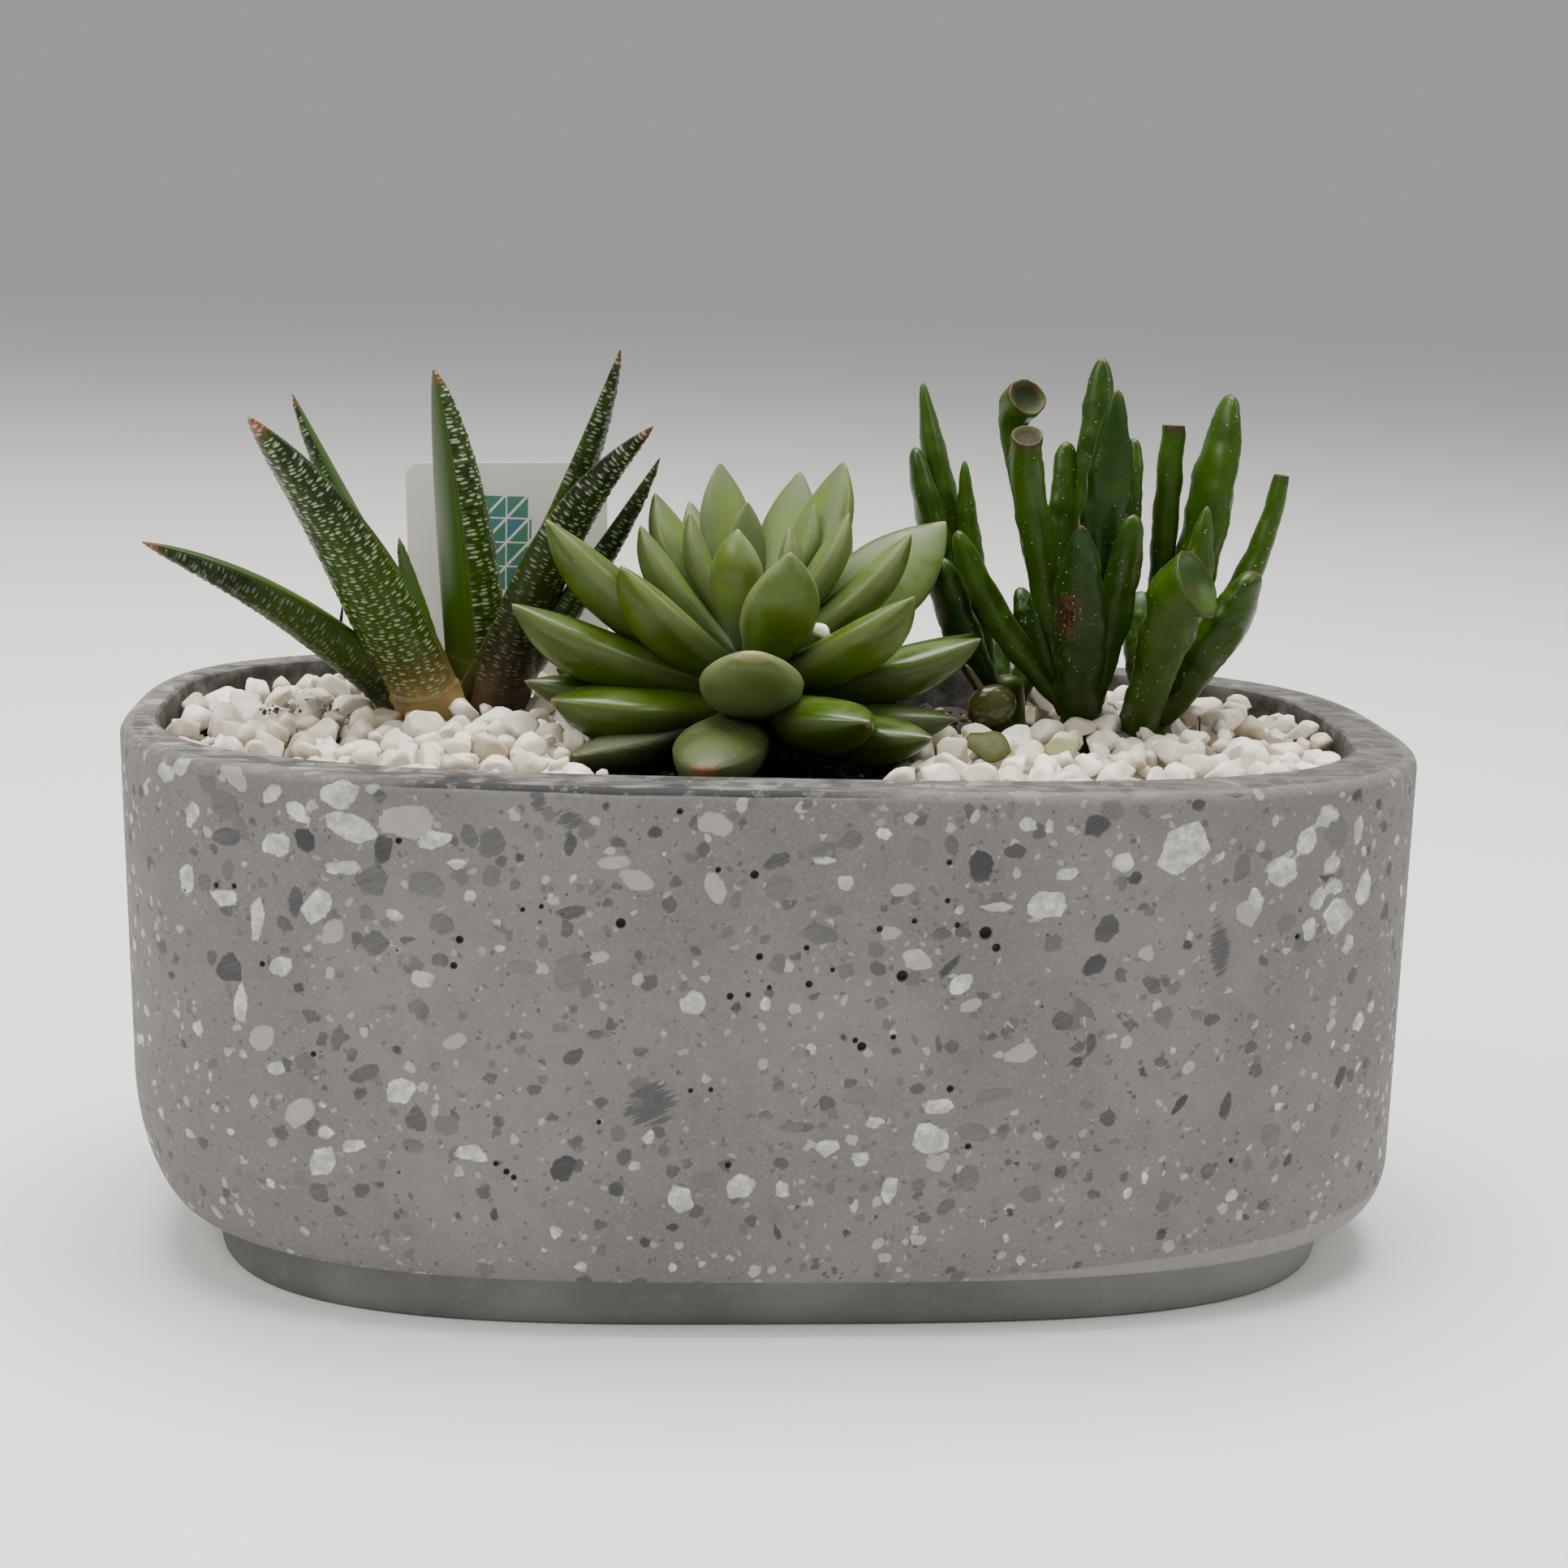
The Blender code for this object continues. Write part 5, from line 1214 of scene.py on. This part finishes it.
def rosette_finish():
    """Waxy leaves: green and glossy when old, pale with bloom when young, some with dirt. One pale leaf has
    painted light low down, and the dirtiest has painted shade on its inner part.
    """
    made, feed, wire = new_material("rosette_leaf", Subsurface_Weight=0.18, Subsurface_Scale=0.003,
                                    Subsurface_Radius=(0.6, 1.0, 0.2), Coat_Roughness=0.20,
                                    Specular_IOR_Level=0.3)
    along, across, young, dusty = (wire.painted(name) for name in ("along", "across", "young", "dusty"))
    cloudy = wire.noise(9.0, 3.0, 0.55)
    mottled = wire.noise(3.0, 3.0, 0.6)
    fine = wire.noise(1.0, 4.0, 0.65)
    green = wire.painted("tone").mix(young.mix((0.024, 0.052, 0.001), (0.064, 0.106, 0.006)),
                                     young.mix((0.048, 0.088, 0.001), (0.086, 0.130, 0.010)))
    waxy = (cloudy + wire.painted("above") * 0.22 + young * 0.25 + mottled * 0.25).ramp(0.62, 1.05)
    colour = waxy.mix(green, young.mix((0.060, 0.096, 0.018), (0.104, 0.144, 0.056)))
    # Light shows yellow-green through the middle of a leaf.
    glow = (1 - across * across) * along.ramp(0.2, 0.55) * along.fall(0.72, 0.97) * cloudy.ramp(0.34, 0.56)
    colour = (glow * 0.6).mix(colour, young.mix((0.062, 0.126, 0.001), (0.120, 0.190, 0.002)))
    root = young.mix((0.052, 0.082, 0.012), (0.120, 0.170, 0.105))
    colour = (along.fall(0.0, 0.34) * 0.5).mix(colour, root)
    rim = wire.painted("edge").ramp(0.55, 0.95) * along.ramp(0.1, 0.4)
    colour = (rim * young.ramp(0.0, 0.6, 0.2, 0.5)).mix(colour, (0.200, 0.240, 0.090))
    colour = (along.ramp(0.975, 0.998) * 0.6).mix(colour, (0.250, 0.185, 0.090))
    orange = wire.painted("orange") * (along + fine * 0.03).ramp(0.985, 1.005)
    colour = orange.mix(colour, (0.30, 0.115, 0.030))
    colour = (fine.ramp(0.64, 0.76) * 0.35).mix(colour, (0.060, 0.068, 0.024))
    scuffs = wire.cells(2.2).fall(0.05, 0.10) * wire.cells(2.2, out=1).part("X").ramp(0.80, 0.84)
    colour = (scuffs * 0.7).mix(colour, (0.31, 0.31, 0.20))
    # Painted light with bloom: the pale front leaf is lightened, most on its lower part, which faces down.
    frost = wire.painted("frost") * (wire.places.part("Z") + cloudy * 4.0).ramp(107.0, 117.0, 0.8, 0.12)
    colour = frost.mix(colour, (0.180, 0.235, 0.120))
    dirt = dusty * (mottled * 0.6 + fine * 0.6).ramp(0.48, 0.66)
    colour = (dusty * 0.5).mix(colour, (0.072, 0.088, 0.036))
    colour = (dirt * 0.75).mix(colour, (0.060, 0.050, 0.032))
    # Painted shade with dirt: the inner part of the dirtiest leaf, in the shade of the leaves above, is near
    # black.
    dirt_and_shade = dusty.ramp(0.8, 0.95) * (along + mottled * 0.2).fall(0.55, 0.80)
    colour = dirt_and_shade.mix(colour, (0.008, 0.007, 0.005))
    feed(Base_Color=colour, Roughness=waxy.ramp(0.0, 1.0, 0.28, 0.50) + dusty * 0.2,
         Coat_Weight=young.ramp(0.0, 0.55, 0.19, 0.04) * (1 - dusty * 0.8),
         Normal=(cloudy * 0.5 + fine * 0.12 + mottled * 0.2 + dirt * 0.4).bump(0.0004, 0.35))
    return made


def zebra_share(t):
    """A zebra leaf's width at t, as a share of its widest."""
    return np.maximum(np.where(t > 0.12, (1 - t) ** 0.72 * (0.8 + 0.75 * t), 0.8 + 0.05 * t / 0.12), 0.0)


def zebra_dots(rng, spec):
    """Bumps in wavy cross rows: distance along, place across, half sizes and strength in mm."""
    length, width = spec[3:5]
    dots = []
    s = 3.0
    while s < length - 1.5:
        half = 0.62 * width * zebra_share(np.array([s / length]))[0]
        slope = rng.uniform(-0.16, 0.16)
        u = -half + rng.uniform(0, 0.6)
        while u < half:
            ridge = rng.random() < 0.45
            dots.append((s + slope * u + rng.uniform(-0.45, 0.45), u, rng.uniform(0.5, 0.85) if ridge else
                         rng.uniform(0.26, 0.42), rng.uniform(0.24, 0.36), rng.uniform(0.4, 1.0)))
            u += rng.uniform(0.75, 1.7) + (0.35 if ridge else 0.0)
        s += rng.uniform(1.25, 1.75)
    return dots


def zebra_bumps(dots, s, u, t):
    """How high the bumps stand at each point, from 0 to 1."""
    high = np.zeros(len(t))
    for dot_s, dot_u, wide, tall, strength in dots:
        near = np.nonzero((np.abs(s - dot_s) < 1.3) & (np.abs(u - dot_u) < 2.2))[0]
        far = np.hypot((s[near] - dot_s) / tall, (u[near] - dot_u) / wide)
        high[near] = np.maximum(high[near], strength * np.clip(1.75 - far, 0, 1))
    return high * np.clip((t - 0.05) / 0.10, 0, 1)


def zebra_leaf(bm, spec, rng, rings, around, **paints):
    length, width, thickness = spec[3:6]
    dots = zebra_dots(rng, spec)

    def shape(along, turn):
        t = past_cap(along, rings)
        points, side, normal = leaf_line(ZEBRA_AXIS, spec, t, spec[7])
        share = zebra_share(t) * (along > 0)
        position = (turn + math.pi) / (2 * math.pi)
        outer = position < OUTER_SHARE
        inner = (position - OUTER_SHARE) / (1 - OUTER_SHARE)
        angle = np.where(outer, 1 + position / OUTER_SHARE, inner) * math.pi
        across = np.cos(angle)
        through = np.where(outer, -0.76 * np.abs(np.sin(angle)) ** 0.75, 0.16 * np.sin(angle))
        u = np.where(outer, (position / OUTER_SHARE * 2 - 1) * 0.62, 9.0) * width * share
        s = t * length
        places = (points + side * (across * share * width / 2)[:, None]
                  + normal * (through * share * thickness)[:, None])
        lift = side * across[:, None] * 0.6 + normal * through[:, None]
        lift /= np.maximum(np.linalg.norm(lift, axis=1), 1e-6)[:, None]
        places += lift * (BUMP_HEIGHT * zebra_bumps(dots, s, u, t) * (share > 0.02))[:, None]
        painted = {"along": t, "outer": outer, "lengthwise": s + 90.0 * spec[0], "sidewise": u}
        return places * MM, {**painted, **paints}

    wrapped(bm, rings, around, shape)


def zebra_plant():
    rng = random.Random(33)
    bm = painted_mesh("along", "white", "outer", "brown", "yellow", "burnt", "lengthwise", "sidewise")
    for spec, (brown, yellow, burnt, white) in zip(ZEBRA_LEAVES, ZEBRA_AGE):
        near = spec[3] > 50
        around = 64 if spec[4] > 12 else 48
        zebra_leaf(bm, spec, rng, int(spec[3] * (2.8 if near else 2.0)), around if near else 32,
                   brown=brown, yellow=yellow, burnt=burnt, white=white)
    plain_stem(bm, ZEBRA_AXIS, STEMS["zebra"], brown=1.0, yellow=0.3)
    splinter(bm, DRY_TWIG, 0.4, brown=1.0, along=0.4)
    placed("zebra_leaves", bm, zebra_finish(), "zebra_plant")


def zebra_finish():
    """Dark green leaves with white cross rows, wilted yellow or brown at the base, some tips burnt."""
    made, feed, wire = new_material("zebra_leaf", Subsurface_Weight=0.06, Subsurface_Scale=0.002,
                                    Subsurface_Radius=(0.5, 1.0, 0.2), Specular_IOR_Level=0.2)
    along, outer, brown, yellow = (wire.painted(name) for name in ("along", "outer", "brown", "yellow"))
    cloudy = wire.noise(7.0, 3.0, 0.55)
    fine = wire.noise(0.8, 3.0, 0.6)
    bumps = zebra_rows(wire, fine) * outer * along.ramp(0.05, 0.15) * cloudy.ramp(0.30, 0.50, 0.5, 1.0)
    colour = cloudy.ramp(0.35, 0.65).mix((0.007, 0.018, 0.002), (0.022, 0.048, 0.003))
    colour = (1 - outer).mix(colour, (0.034, 0.068, 0.008))
    colour = (along.ramp(0.12, 0.3) * along.fall(0.35, 0.8) * 0.7).mix(colour, (0.042, 0.096, 0.002))
    colour = (brown * along.ramp(0.1, 0.6, 1.0, 0.35)).mix(colour, (0.009, 0.006, 0.003))
    wilt = yellow * (along + cloudy * 0.12).fall(0.15, 0.38)
    colour = wilt.mix(colour, brown.mix((0.150, 0.115, 0.022), (0.060, 0.038, 0.016)))
    pale = yellow * (along + cloudy * 0.10).fall(0.12, 0.24)
    colour = (pale * 0.95).mix(colour, brown.mix((0.420, 0.300, 0.120), (0.070, 0.040, 0.020)))
    scald = yellow * (along + cloudy * 0.15).fall(0.03, 0.11) * cloudy.ramp(0.4, 0.6)
    colour = (scald * 0.6).mix(colour, (0.090, 0.050, 0.022))
    tip = wire.painted("burnt") * (along + fine * 0.03).ramp(0.955, 0.985)
    colour = tip.mix(colour, (0.200, 0.065, 0.030))
    old = brown.ramp(0.2, 0.8) * along.ramp(0.35, 0.6, 1.0, 0.1)
    bar = old.mix((0.33, 0.39, 0.27), (0.15, 0.125, 0.085))
    colour = (bumps * wire.painted("white") * 0.92).mix(colour, bar)
    feed(Base_Color=colour, Roughness=bumps.ramp(0.2, 0.8, 0.38, 0.60),
         Normal=(fine * 0.3 + bumps).bump(0.00035, 0.5))
    return made


def zebra_rows(wire, fine):
    """Wavy cross rows of cells that are wide across the leaf and short along it."""
    wavy = wire.noise(6.0, 1.0) * 1.4 + wire.noise(1.5, 1.0) * 0.35
    rows = wire.joined(wire.painted("lengthwise") / 0.86 + wavy, wire.painted("sidewise") / 1.85)
    flat = {"voronoi_dimensions": "2D"}
    spot = {"Vector": rows, "Scale": 1.0, "Randomness": 0.55}
    strength = wire.node("TexVoronoi", flat, spot, out=1).part("X")
    bumps = (wire.node("TexVoronoi", flat, spot) + fine * 0.25 - strength * 0.18).fall(0.20, 0.36)
    return bumps * strength.ramp(0.05, 0.6, 0.25, 1.0)


def finger_stations(axis, spec):
    """Rings along a finger: middle, half width and half thickness as vectors, and how hollow."""
    width, thick = spec[4:6]
    kind = spec[7]
    knots = FINGER_WIDTHS[kind]
    if kind in ("cup", "horn"):
        t = np.linspace(0, CUP_START, 12)
        shares = eased(*zip(*knots), t)
    else:
        t = np.array([knot[0] for knot in knots])
        t = np.concatenate([np.linspace(0, t[-3], 16)[:-1], t[-3:]])
        shares = [*eased(*zip(*knots[:-2]), t[:-2]), knots[-2][1], 0.0]
    points, sides, normals = leaf_line(axis, spec, t)
    stations = []
    for i, share in enumerate(shares):
        hollow = 0.35 if kind in ("flat", "slim") and i >= len(shares) - 3 else 0.0
        stations.append((points[i], sides[i] * share * width / 2, normals[i] * share * thick / 2, hollow))
    if kind in ("cup", "horn"):
        stations += cup_stations(spec, Vector(points[-1]), Vector(sides[-1]), Vector(normals[-1]))
    return stations


def cup_stations(spec, place, side, normal):
    """Rings of a cup's opening, which nods to one side, and of its inside."""
    length, width, thick = spec[3:6]
    kind, flare, azimuth, nod = spec[7], spec[8], math.radians(spec[9]), math.radians(spec[10])
    forward = side.cross(normal)
    hinge = forward.cross(Vector((math.cos(azimuth), math.sin(azimuth), 0))).normalized()
    half_width = width / 2
    half_depth = (thick + 0.7 * (width - thick)) / 2
    rings = []
    for i, (advance, nodded, opened, share) in enumerate(CUP_LIP):
        turn = Matrix.Rotation(nod * nodded, 3, hinge)
        place = place + turn @ forward * (advance * length)
        lip = 0.26 if kind == "horn" else 0.35
        rings.append((place, turn, share * (1 + opened * flare), 0.0 if i < 3 else lip))
    deep = CUP_DEPTH * half_width * (0.5 + flare)
    for inward, narrow in CUP_INSIDE:
        hollow = 0.12 if kind == "horn" else min(1.0, 0.45 + inward)
        rings.append((place - turn @ forward * deep * inward, turn, (1 + flare) * narrow, hollow))
    return [(np.array(middle), np.array(turn @ side) * half_width * share,
             np.array(turn @ normal) * half_depth * share, hollow) for middle, turn, share, hollow in rings]


def finger_leaf(bm, axis, spec, rng):
    stations = finger_stations(tuple(axis + HORN_SHIFT) if spec[7] == "horn" else axis, spec)
    middles, acrosses, throughs, hollows = (np.array(column) for column in zip(*stations))
    seed = Vector((rng.uniform(0, 50), rng.uniform(0, 50), 0))
    tone = max(rng.random(), 0.8 if spec[7] in ("flat", "slim") else 0.0)
    knots = np.linspace(0, 1, len(stations))

    def shape(along, turn):
        t = past_cap(along, FINGER_RINGS)
        middle = eased(knots, middles, t)
        around = (eased(knots, acrosses, t) * np.cos(turn)[:, None]
                  + eased(knots, throughs, t) * np.sin(turn)[:, None]) * (along > 0)[:, None]
        places = middle + around
        for i, place in enumerate(places):
            point = Vector(place)
            swell = 0.15 * noise.noise(point * 0.2 + seed) + 0.07 * noise.noise(point * 0.55 + seed)
            places[i] += around[i] * swell
        scab = 1.5 - np.linalg.norm((places - np.array(SCAB_MIDDLE)) / np.array(SCAB_REACH), axis=1)
        return places * MM, {"along": t, "hollow": np.interp(t, knots, hollows), "tone": tone,
                             "scab": np.clip(scab, 0, 1)}

    wrapped(bm, FINGER_RINGS, 24, shape)


def finger_stems():
    rng = random.Random(52)
    made = finger_finish()
    for name, axis in FINGER_AXES.items():
        bm = painted_mesh("along", "hollow", "tone", "scab")
        for spec in FINGER_LEAVES[name]:
            finger_leaf(bm, axis, spec, rng)
        plain_stem(bm, axis, STEMS["finger"], tone=0.5, along=0.0)
        placed(f"finger_leaves_{name}", bm, made, f"finger_stem_{name}")


def finger_finish():
    """Deep green leaves with pale dust spots, brown tips, cup lips and one scab."""
    made, feed, wire = new_material("finger_leaf", Subsurface_Weight=0.08, Subsurface_Scale=0.002,
                                    Subsurface_Radius=(0.5, 1.0, 0.15), Coat_Roughness=0.22,
                                    Specular_IOR_Level=0.2)
    along, tone, hollow, sore = (wire.painted(name) for name in ("along", "tone", "hollow", "scab"))
    cloudy = wire.noise(8.0, 3.0, 0.55)
    fine = wire.noise(0.9, 3.0, 0.6)
    light = (cloudy * 0.8 + tone * 0.5).ramp(0.35, 0.95)
    colour = light.mix((0.0100, 0.0340, 0.0003), (0.0320, 0.0760, 0.0010))
    colour = (along.fall(0.0, 0.3) * 0.4).mix(colour, (0.050, 0.078, 0.008))
    dust = wire.noise(13.0).ramp(0.42, 0.56)
    spots = dust * wire.cells(1.3).fall(0.09, 0.16) * wire.cells(1.3, out=1).part("X").ramp(0.26, 0.32)
    colour = (spots * 0.85).mix(colour, (0.40, 0.42, 0.33))
    colour = (dust * fine.ramp(0.5, 0.7) * 0.12).mix(colour, (0.11, 0.12, 0.07))
    colour = ((along + cloudy * 0.06).ramp(0.975, 1.015) * 0.8).mix(colour, (0.085, 0.036, 0.020))
    lip = hollow.ramp(0.16, 0.34) * wire.noise(2.6, 3.0, 0.6).ramp(0.40, 0.56, 0.1, 0.9)
    colour = lip.mix(colour, (0.050, 0.015, 0.007))
    deep = cloudy.ramp(0.4, 0.6).mix((0.010, 0.016, 0.001), (0.020, 0.015, 0.003))
    colour = hollow.ramp(0.60, 0.95).mix(colour, deep)
    scab = (sore + fine.ramp(0.32, 0.68) * 1.1 - 0.55).ramp(0.42, 0.50) * sore.ramp(0.08, 0.3)
    colour = scab.mix(colour, fine.ramp(0.42, 0.58).mix((0.005, 0.002, 0.001), (0.080, 0.024, 0.012)))
    flecks = wire.cells(0.75).fall(0.16, 0.26) * wire.cells(0.75, out=1).part("X").ramp(0.62, 0.66)
    colour = (flecks * sore.ramp(0.02, 0.3) * 0.9).mix(colour, (0.42, 0.43, 0.36))
    feed(Base_Color=colour, Roughness=fine.ramp(0.3, 0.7, 0.32, 0.46) + hollow * 0.3,
         Coat_Weight=hollow.ramp(0.1, 0.5, 0.10, 0.0),
         Normal=(cloudy * 0.6 + fine * 0.2 + spots * 0.4 + scab * 0.7).bump(0.0003, 0.4))
    return made


# Plant tag

def tag_head(bm):
    """A card with rounded corners and a soft bend."""
    for vert in bmesh.ops.create_grid(bm, x_segments=24, y_segments=44, size=0.5)["verts"]:
        x = vert.co.x * TAG_WIDTH
        z = (vert.co.y - 0.5) * (TAG_HEAD + 0.0005)
        over_x = abs(x) - (TAG_WIDTH / 2 - TAG_CORNER)
        over_z = max(z + TAG_CORNER, -z - TAG_HEAD + TAG_CORNER)
        if over_x > 0 and over_z > 0:
            far = max(over_x, over_z) / math.hypot(over_x, over_z)
            x = math.copysign(TAG_WIDTH / 2 - TAG_CORNER + over_x * far, x)
            z = -TAG_CORNER + over_z * far if z > -TAG_HEAD / 2 else TAG_CORNER - TAG_HEAD - over_z * far
        vert.co = Vector((x, -TAG_THICKNESS / 2, z))
    for vert in only_verts(bmesh.ops.extrude_face_region(bm, geom=list(bm.faces))["geom"]):
        vert.co.y += TAG_THICKNESS
    for vert in bm.verts:
        vert.co.y += TAG_BEND * vert.co.x ** 2


def tag_stake(bm):
    """A flat stake below the head, drawn out to a point."""
    stake = bmesh.ops.create_cone(bm, cap_ends=True, segments=4, radius1=STAKE_RADIUS, radius2=STAKE_RADIUS,
                                  depth=STAKE_LENGTH)["verts"]
    for vert in stake:
        vert.co = Matrix.Rotation(math.radians(45), 3, "Z") @ vert.co
        vert.co.y = math.copysign(TAG_THICKNESS / 2, vert.co.y)
        vert.co.z = vert.co.z - TAG_HEAD - STAKE_DROP
    low = [vert for vert in stake if vert.co.z < -TAG_HEAD - STAKE_DROP]
    end = [face for face in bm.faces if all(vert in low for vert in face.verts)]
    for vert in only_verts(bmesh.ops.extrude_face_region(bm, geom=end)["geom"]):
        vert.co = Vector((vert.co.x * 0.04, vert.co.y, vert.co.z - STAKE_POINT))


def plant_tag():
    bm = bmesh.new()
    tag_head(bm)
    tag_stake(bm)
    place = Matrix.Translation((*TAG_MIDDLE, TAG_TOP)) @ Matrix.Rotation(-TAG_TILT, 4, "Y")
    bmesh.ops.transform(bm, matrix=place, verts=bm.verts)
    in_order(bm)
    placed("plant_tag_card", bm, tag_finish(), "plant_tag", sharp=40)


def tag_finish():
    """White card with a plain printed panel: rows of triangles in green, teal and blue with white gaps."""
    made, feed, wire = new_material("printed_card")
    x = wire.places.part("X") - TAG_MIDDLE[0] / MM
    z = wire.places.part("Z") - (TAG_TOP / MM - 17.0)
    fine = wire.noise(0.5, 3.0, 0.6)
    colour = wire.noise(14.0, 3.0, 0.6).mix((0.76, 0.73, 0.69), (0.84, 0.81, 0.77))
    panel = x.ramp(-8.6, -8.5) * x.fall(5.4, 5.5) * z.ramp(-10.6, -10.5) * z.fall(9.9, 10.0)
    column = x * 0.213 + 20.0
    row = z * 0.195 + 20.0
    slant = column.maths("FRACT", column)
    rise = row.maths("FRACT", row)
    lean = slant - rise
    stripe = lean.maths("ABSOLUTE", lean).ramp(0.06, 0.09) * slant.ramp(0.05, 0.08) * rise.ramp(0.05, 0.08)
    which = wire.joined(column.maths("FLOOR", column), row.maths("FLOOR", row), lean.ramp(-0.01, 0.01))
    chance = wire.node("TexWhiteNoise", None, {"Vector": which})
    ink = chance.ramp(0.2, 0.8).mix((0.010, 0.190, 0.110), (0.012, 0.150, 0.215))
    front = (wire.places.part("Y") - TAG_MIDDLE[1] / MM).fall(-0.1, 0.1)
    colour = (panel * stripe * chance.ramp(0.08, 0.1) * front * 0.92).mix(colour, ink)
    feed(Base_Color=colour, Roughness=fine.ramp(0.3, 0.7, 0.42, 0.55), Normal=fine.bump(0.00006, 0.4))
    return made


# Small things lying about

def node_middle(name):
    low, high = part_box(name)
    return (Vector(low) + Vector(high)) / 2


def fallen_round_leaf():
    """A round leaf with a stub of its stem."""
    middle = np.array(node_middle("fallen_round_leaf") + ROUND_LEAF_DROP)
    bm = painted_mesh("along", "hollow")

    def leaf_shape(along, turn):
        z = np.cos(along * math.pi)
        ring = np.sin(along * math.pi) ** 0.9
        x = ROUND_LEAF[0] * ring * np.cos(turn) + 0.5 * z
        y = ROUND_LEAF[1] * ring * np.sin(turn) * (1 - 0.12 * z)
        return np.stack([x, y, ROUND_LEAF[2] * z], 1) * MM + middle, {"along": along}

    def stub_shape(along, turn):
        radius = np.interp(along, [0, 0.04, 0.9, 1.0], [0, 0.95, 0.62, 0.0])
        far = along * STUB_LENGTH
        x = -1.2 - 0.57 * far + radius * np.cos(turn)
        places = np.stack([x, radius * np.sin(turn), 2.0 + 0.82 * far], 1)
        return places * MM + middle, {"along": along * 0.5, "hollow": 0.6}

    wrapped(bm, 26, 32, leaf_shape)
    wrapped(bm, 16, 12, stub_shape)
    placed("round_leaf", bm, fallen_finish(), "fallen_round_leaf")


def fallen_flat_leaf():
    middle = np.array(node_middle("fallen_flat_leaf"))
    length, width, thickness = FLAT_LEAF
    bm = painted_mesh("along", "hollow")

    def shape(along, turn):
        wide = eased(ROSETTE_SHARES, ROSETTE_WIDTHS, along) * (along > 0)
        thick = eased(ROSETTE_SHARES, ROSETTE_THICKS, along) * (along > 0)
        across = np.cos(turn)
        through = np.where(np.sin(turn) > 0, 0.24, 0.72) * np.sin(turn)
        local = np.stack([(along - 0.5) * length, across * wide * width,
                          through * thick * thickness - 0.25 * across ** 2], 1)
        return np.array([FLAT_LEAF_TURN @ Vector(row) for row in local]) * MM + middle, {"along": along}

    wrapped(bm, 30, 24, shape)
    placed("flat_leaf", bm, fallen_finish(0.4), "fallen_flat_leaf")


def fallen_finish(matt=0.0):
    """Olive leaf skin with brown blotches, glossy or as matt as asked."""
    made, feed, wire = new_material("fallen_leaf_skin", Subsurface_Weight=0.15 - 0.3 * matt,
                                    Subsurface_Scale=0.002, Specular_IOR_Level=0.5 - 0.9 * matt)
    cloudy = wire.noise(3.0, 4.0, 0.6)
    fine = wire.noise(0.5, 3.0, 0.6)
    low, high = (tuple(a + matt * (b - a) for a, b in zip(glossy, dry)) for glossy, dry in (
        ((0.036, 0.044, 0.006), (0.070, 0.080, 0.014)), ((0.080, 0.080, 0.016), (0.09, 0.092, 0.026))))
    colour = cloudy.ramp(0.35, 0.68).mix(low, high)
    colour = wire.painted("hollow").ramp(0.3, 0.7).mix(colour, (0.085, 0.060, 0.028))
    colour = fine.ramp(0.62, 0.72, 0.0, 0.3).mix(colour, (0.045, 0.028, 0.012))
    colour = cloudy.ramp(0.56, 0.66, 0.0, 0.6).mix(colour, (0.060, 0.034, 0.012))
    feed(Base_Color=colour, Roughness=fine.ramp(0.3, 0.7, 0.14 + 0.5 * matt, 0.28 + 0.5 * matt),
         Normal=cloudy.bump(0.0002, 0.3))
    return made


def caught_pebble():
    rng = random.Random(4)
    bm = painted_mesh("shade", "tint")
    low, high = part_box("caught_pebble")
    stone(bm, rng, node_middle("caught_pebble"), (high[0] - low[0]) * 0.54, 0.85, 3, shade=1.0)
    placed("caught_white_pebble", bm, pebble_finish(), "caught_pebble", sharp=60)


# Stage

def floor_finish():
    """Pale floor that turns white towards the distance."""
    made, feed, wire = new_material("pale_floor", Roughness=0.55)
    near = wire.noise(160.0, 3.0, 0.6).mix((0.84, 0.825, 0.80), (0.88, 0.865, 0.84))
    far = wire.vector("LENGTH", {0: wire.places}, out=1).ramp(500.0, 2600.0)
    feed(Base_Color=far.mix(near, (0.975, 0.975, 0.975)))
    return made


def area_light(name, place, size, power, colour):
    data = bpy.data.lights.new(name, "AREA")
    data.shape = "RECTANGLE"
    data.size, data.size_y = size
    data.energy = power
    data.color = colour
    lamp = bpy.data.objects.new(name, data)
    lamp.location = place
    lamp.rotation_euler = (LIT_PLACE - Vector(place)).to_track_quat("-Z", "Y").to_euler()
    bpy.context.scene.collection.objects.link(lamp)


def stage():
    bm = bmesh.new()
    bmesh.ops.create_circle(bm, cap_ends=True, segments=96, radius=FLOOR_RADIUS)
    object_from("floor", bm, floor_finish())
    world = bpy.data.worlds.new("soft_room")
    world.use_nodes = True
    background = world.node_tree.nodes["Background"].inputs
    background["Color"].default_value = ROOM_COLOUR
    background["Strength"].default_value = ROOM_STRENGTH
    bpy.context.scene.world = world
    for name, light in LIGHTS.items():
        area_light(name, *light)


camera()
stage()
terrazzo_pot()
dark_soil()
white_pebbles()
zebra_plant()
rosette_plant()
finger_stems()
plant_tag()
fallen_round_leaf()
fallen_flat_leaf()
caught_pebble()
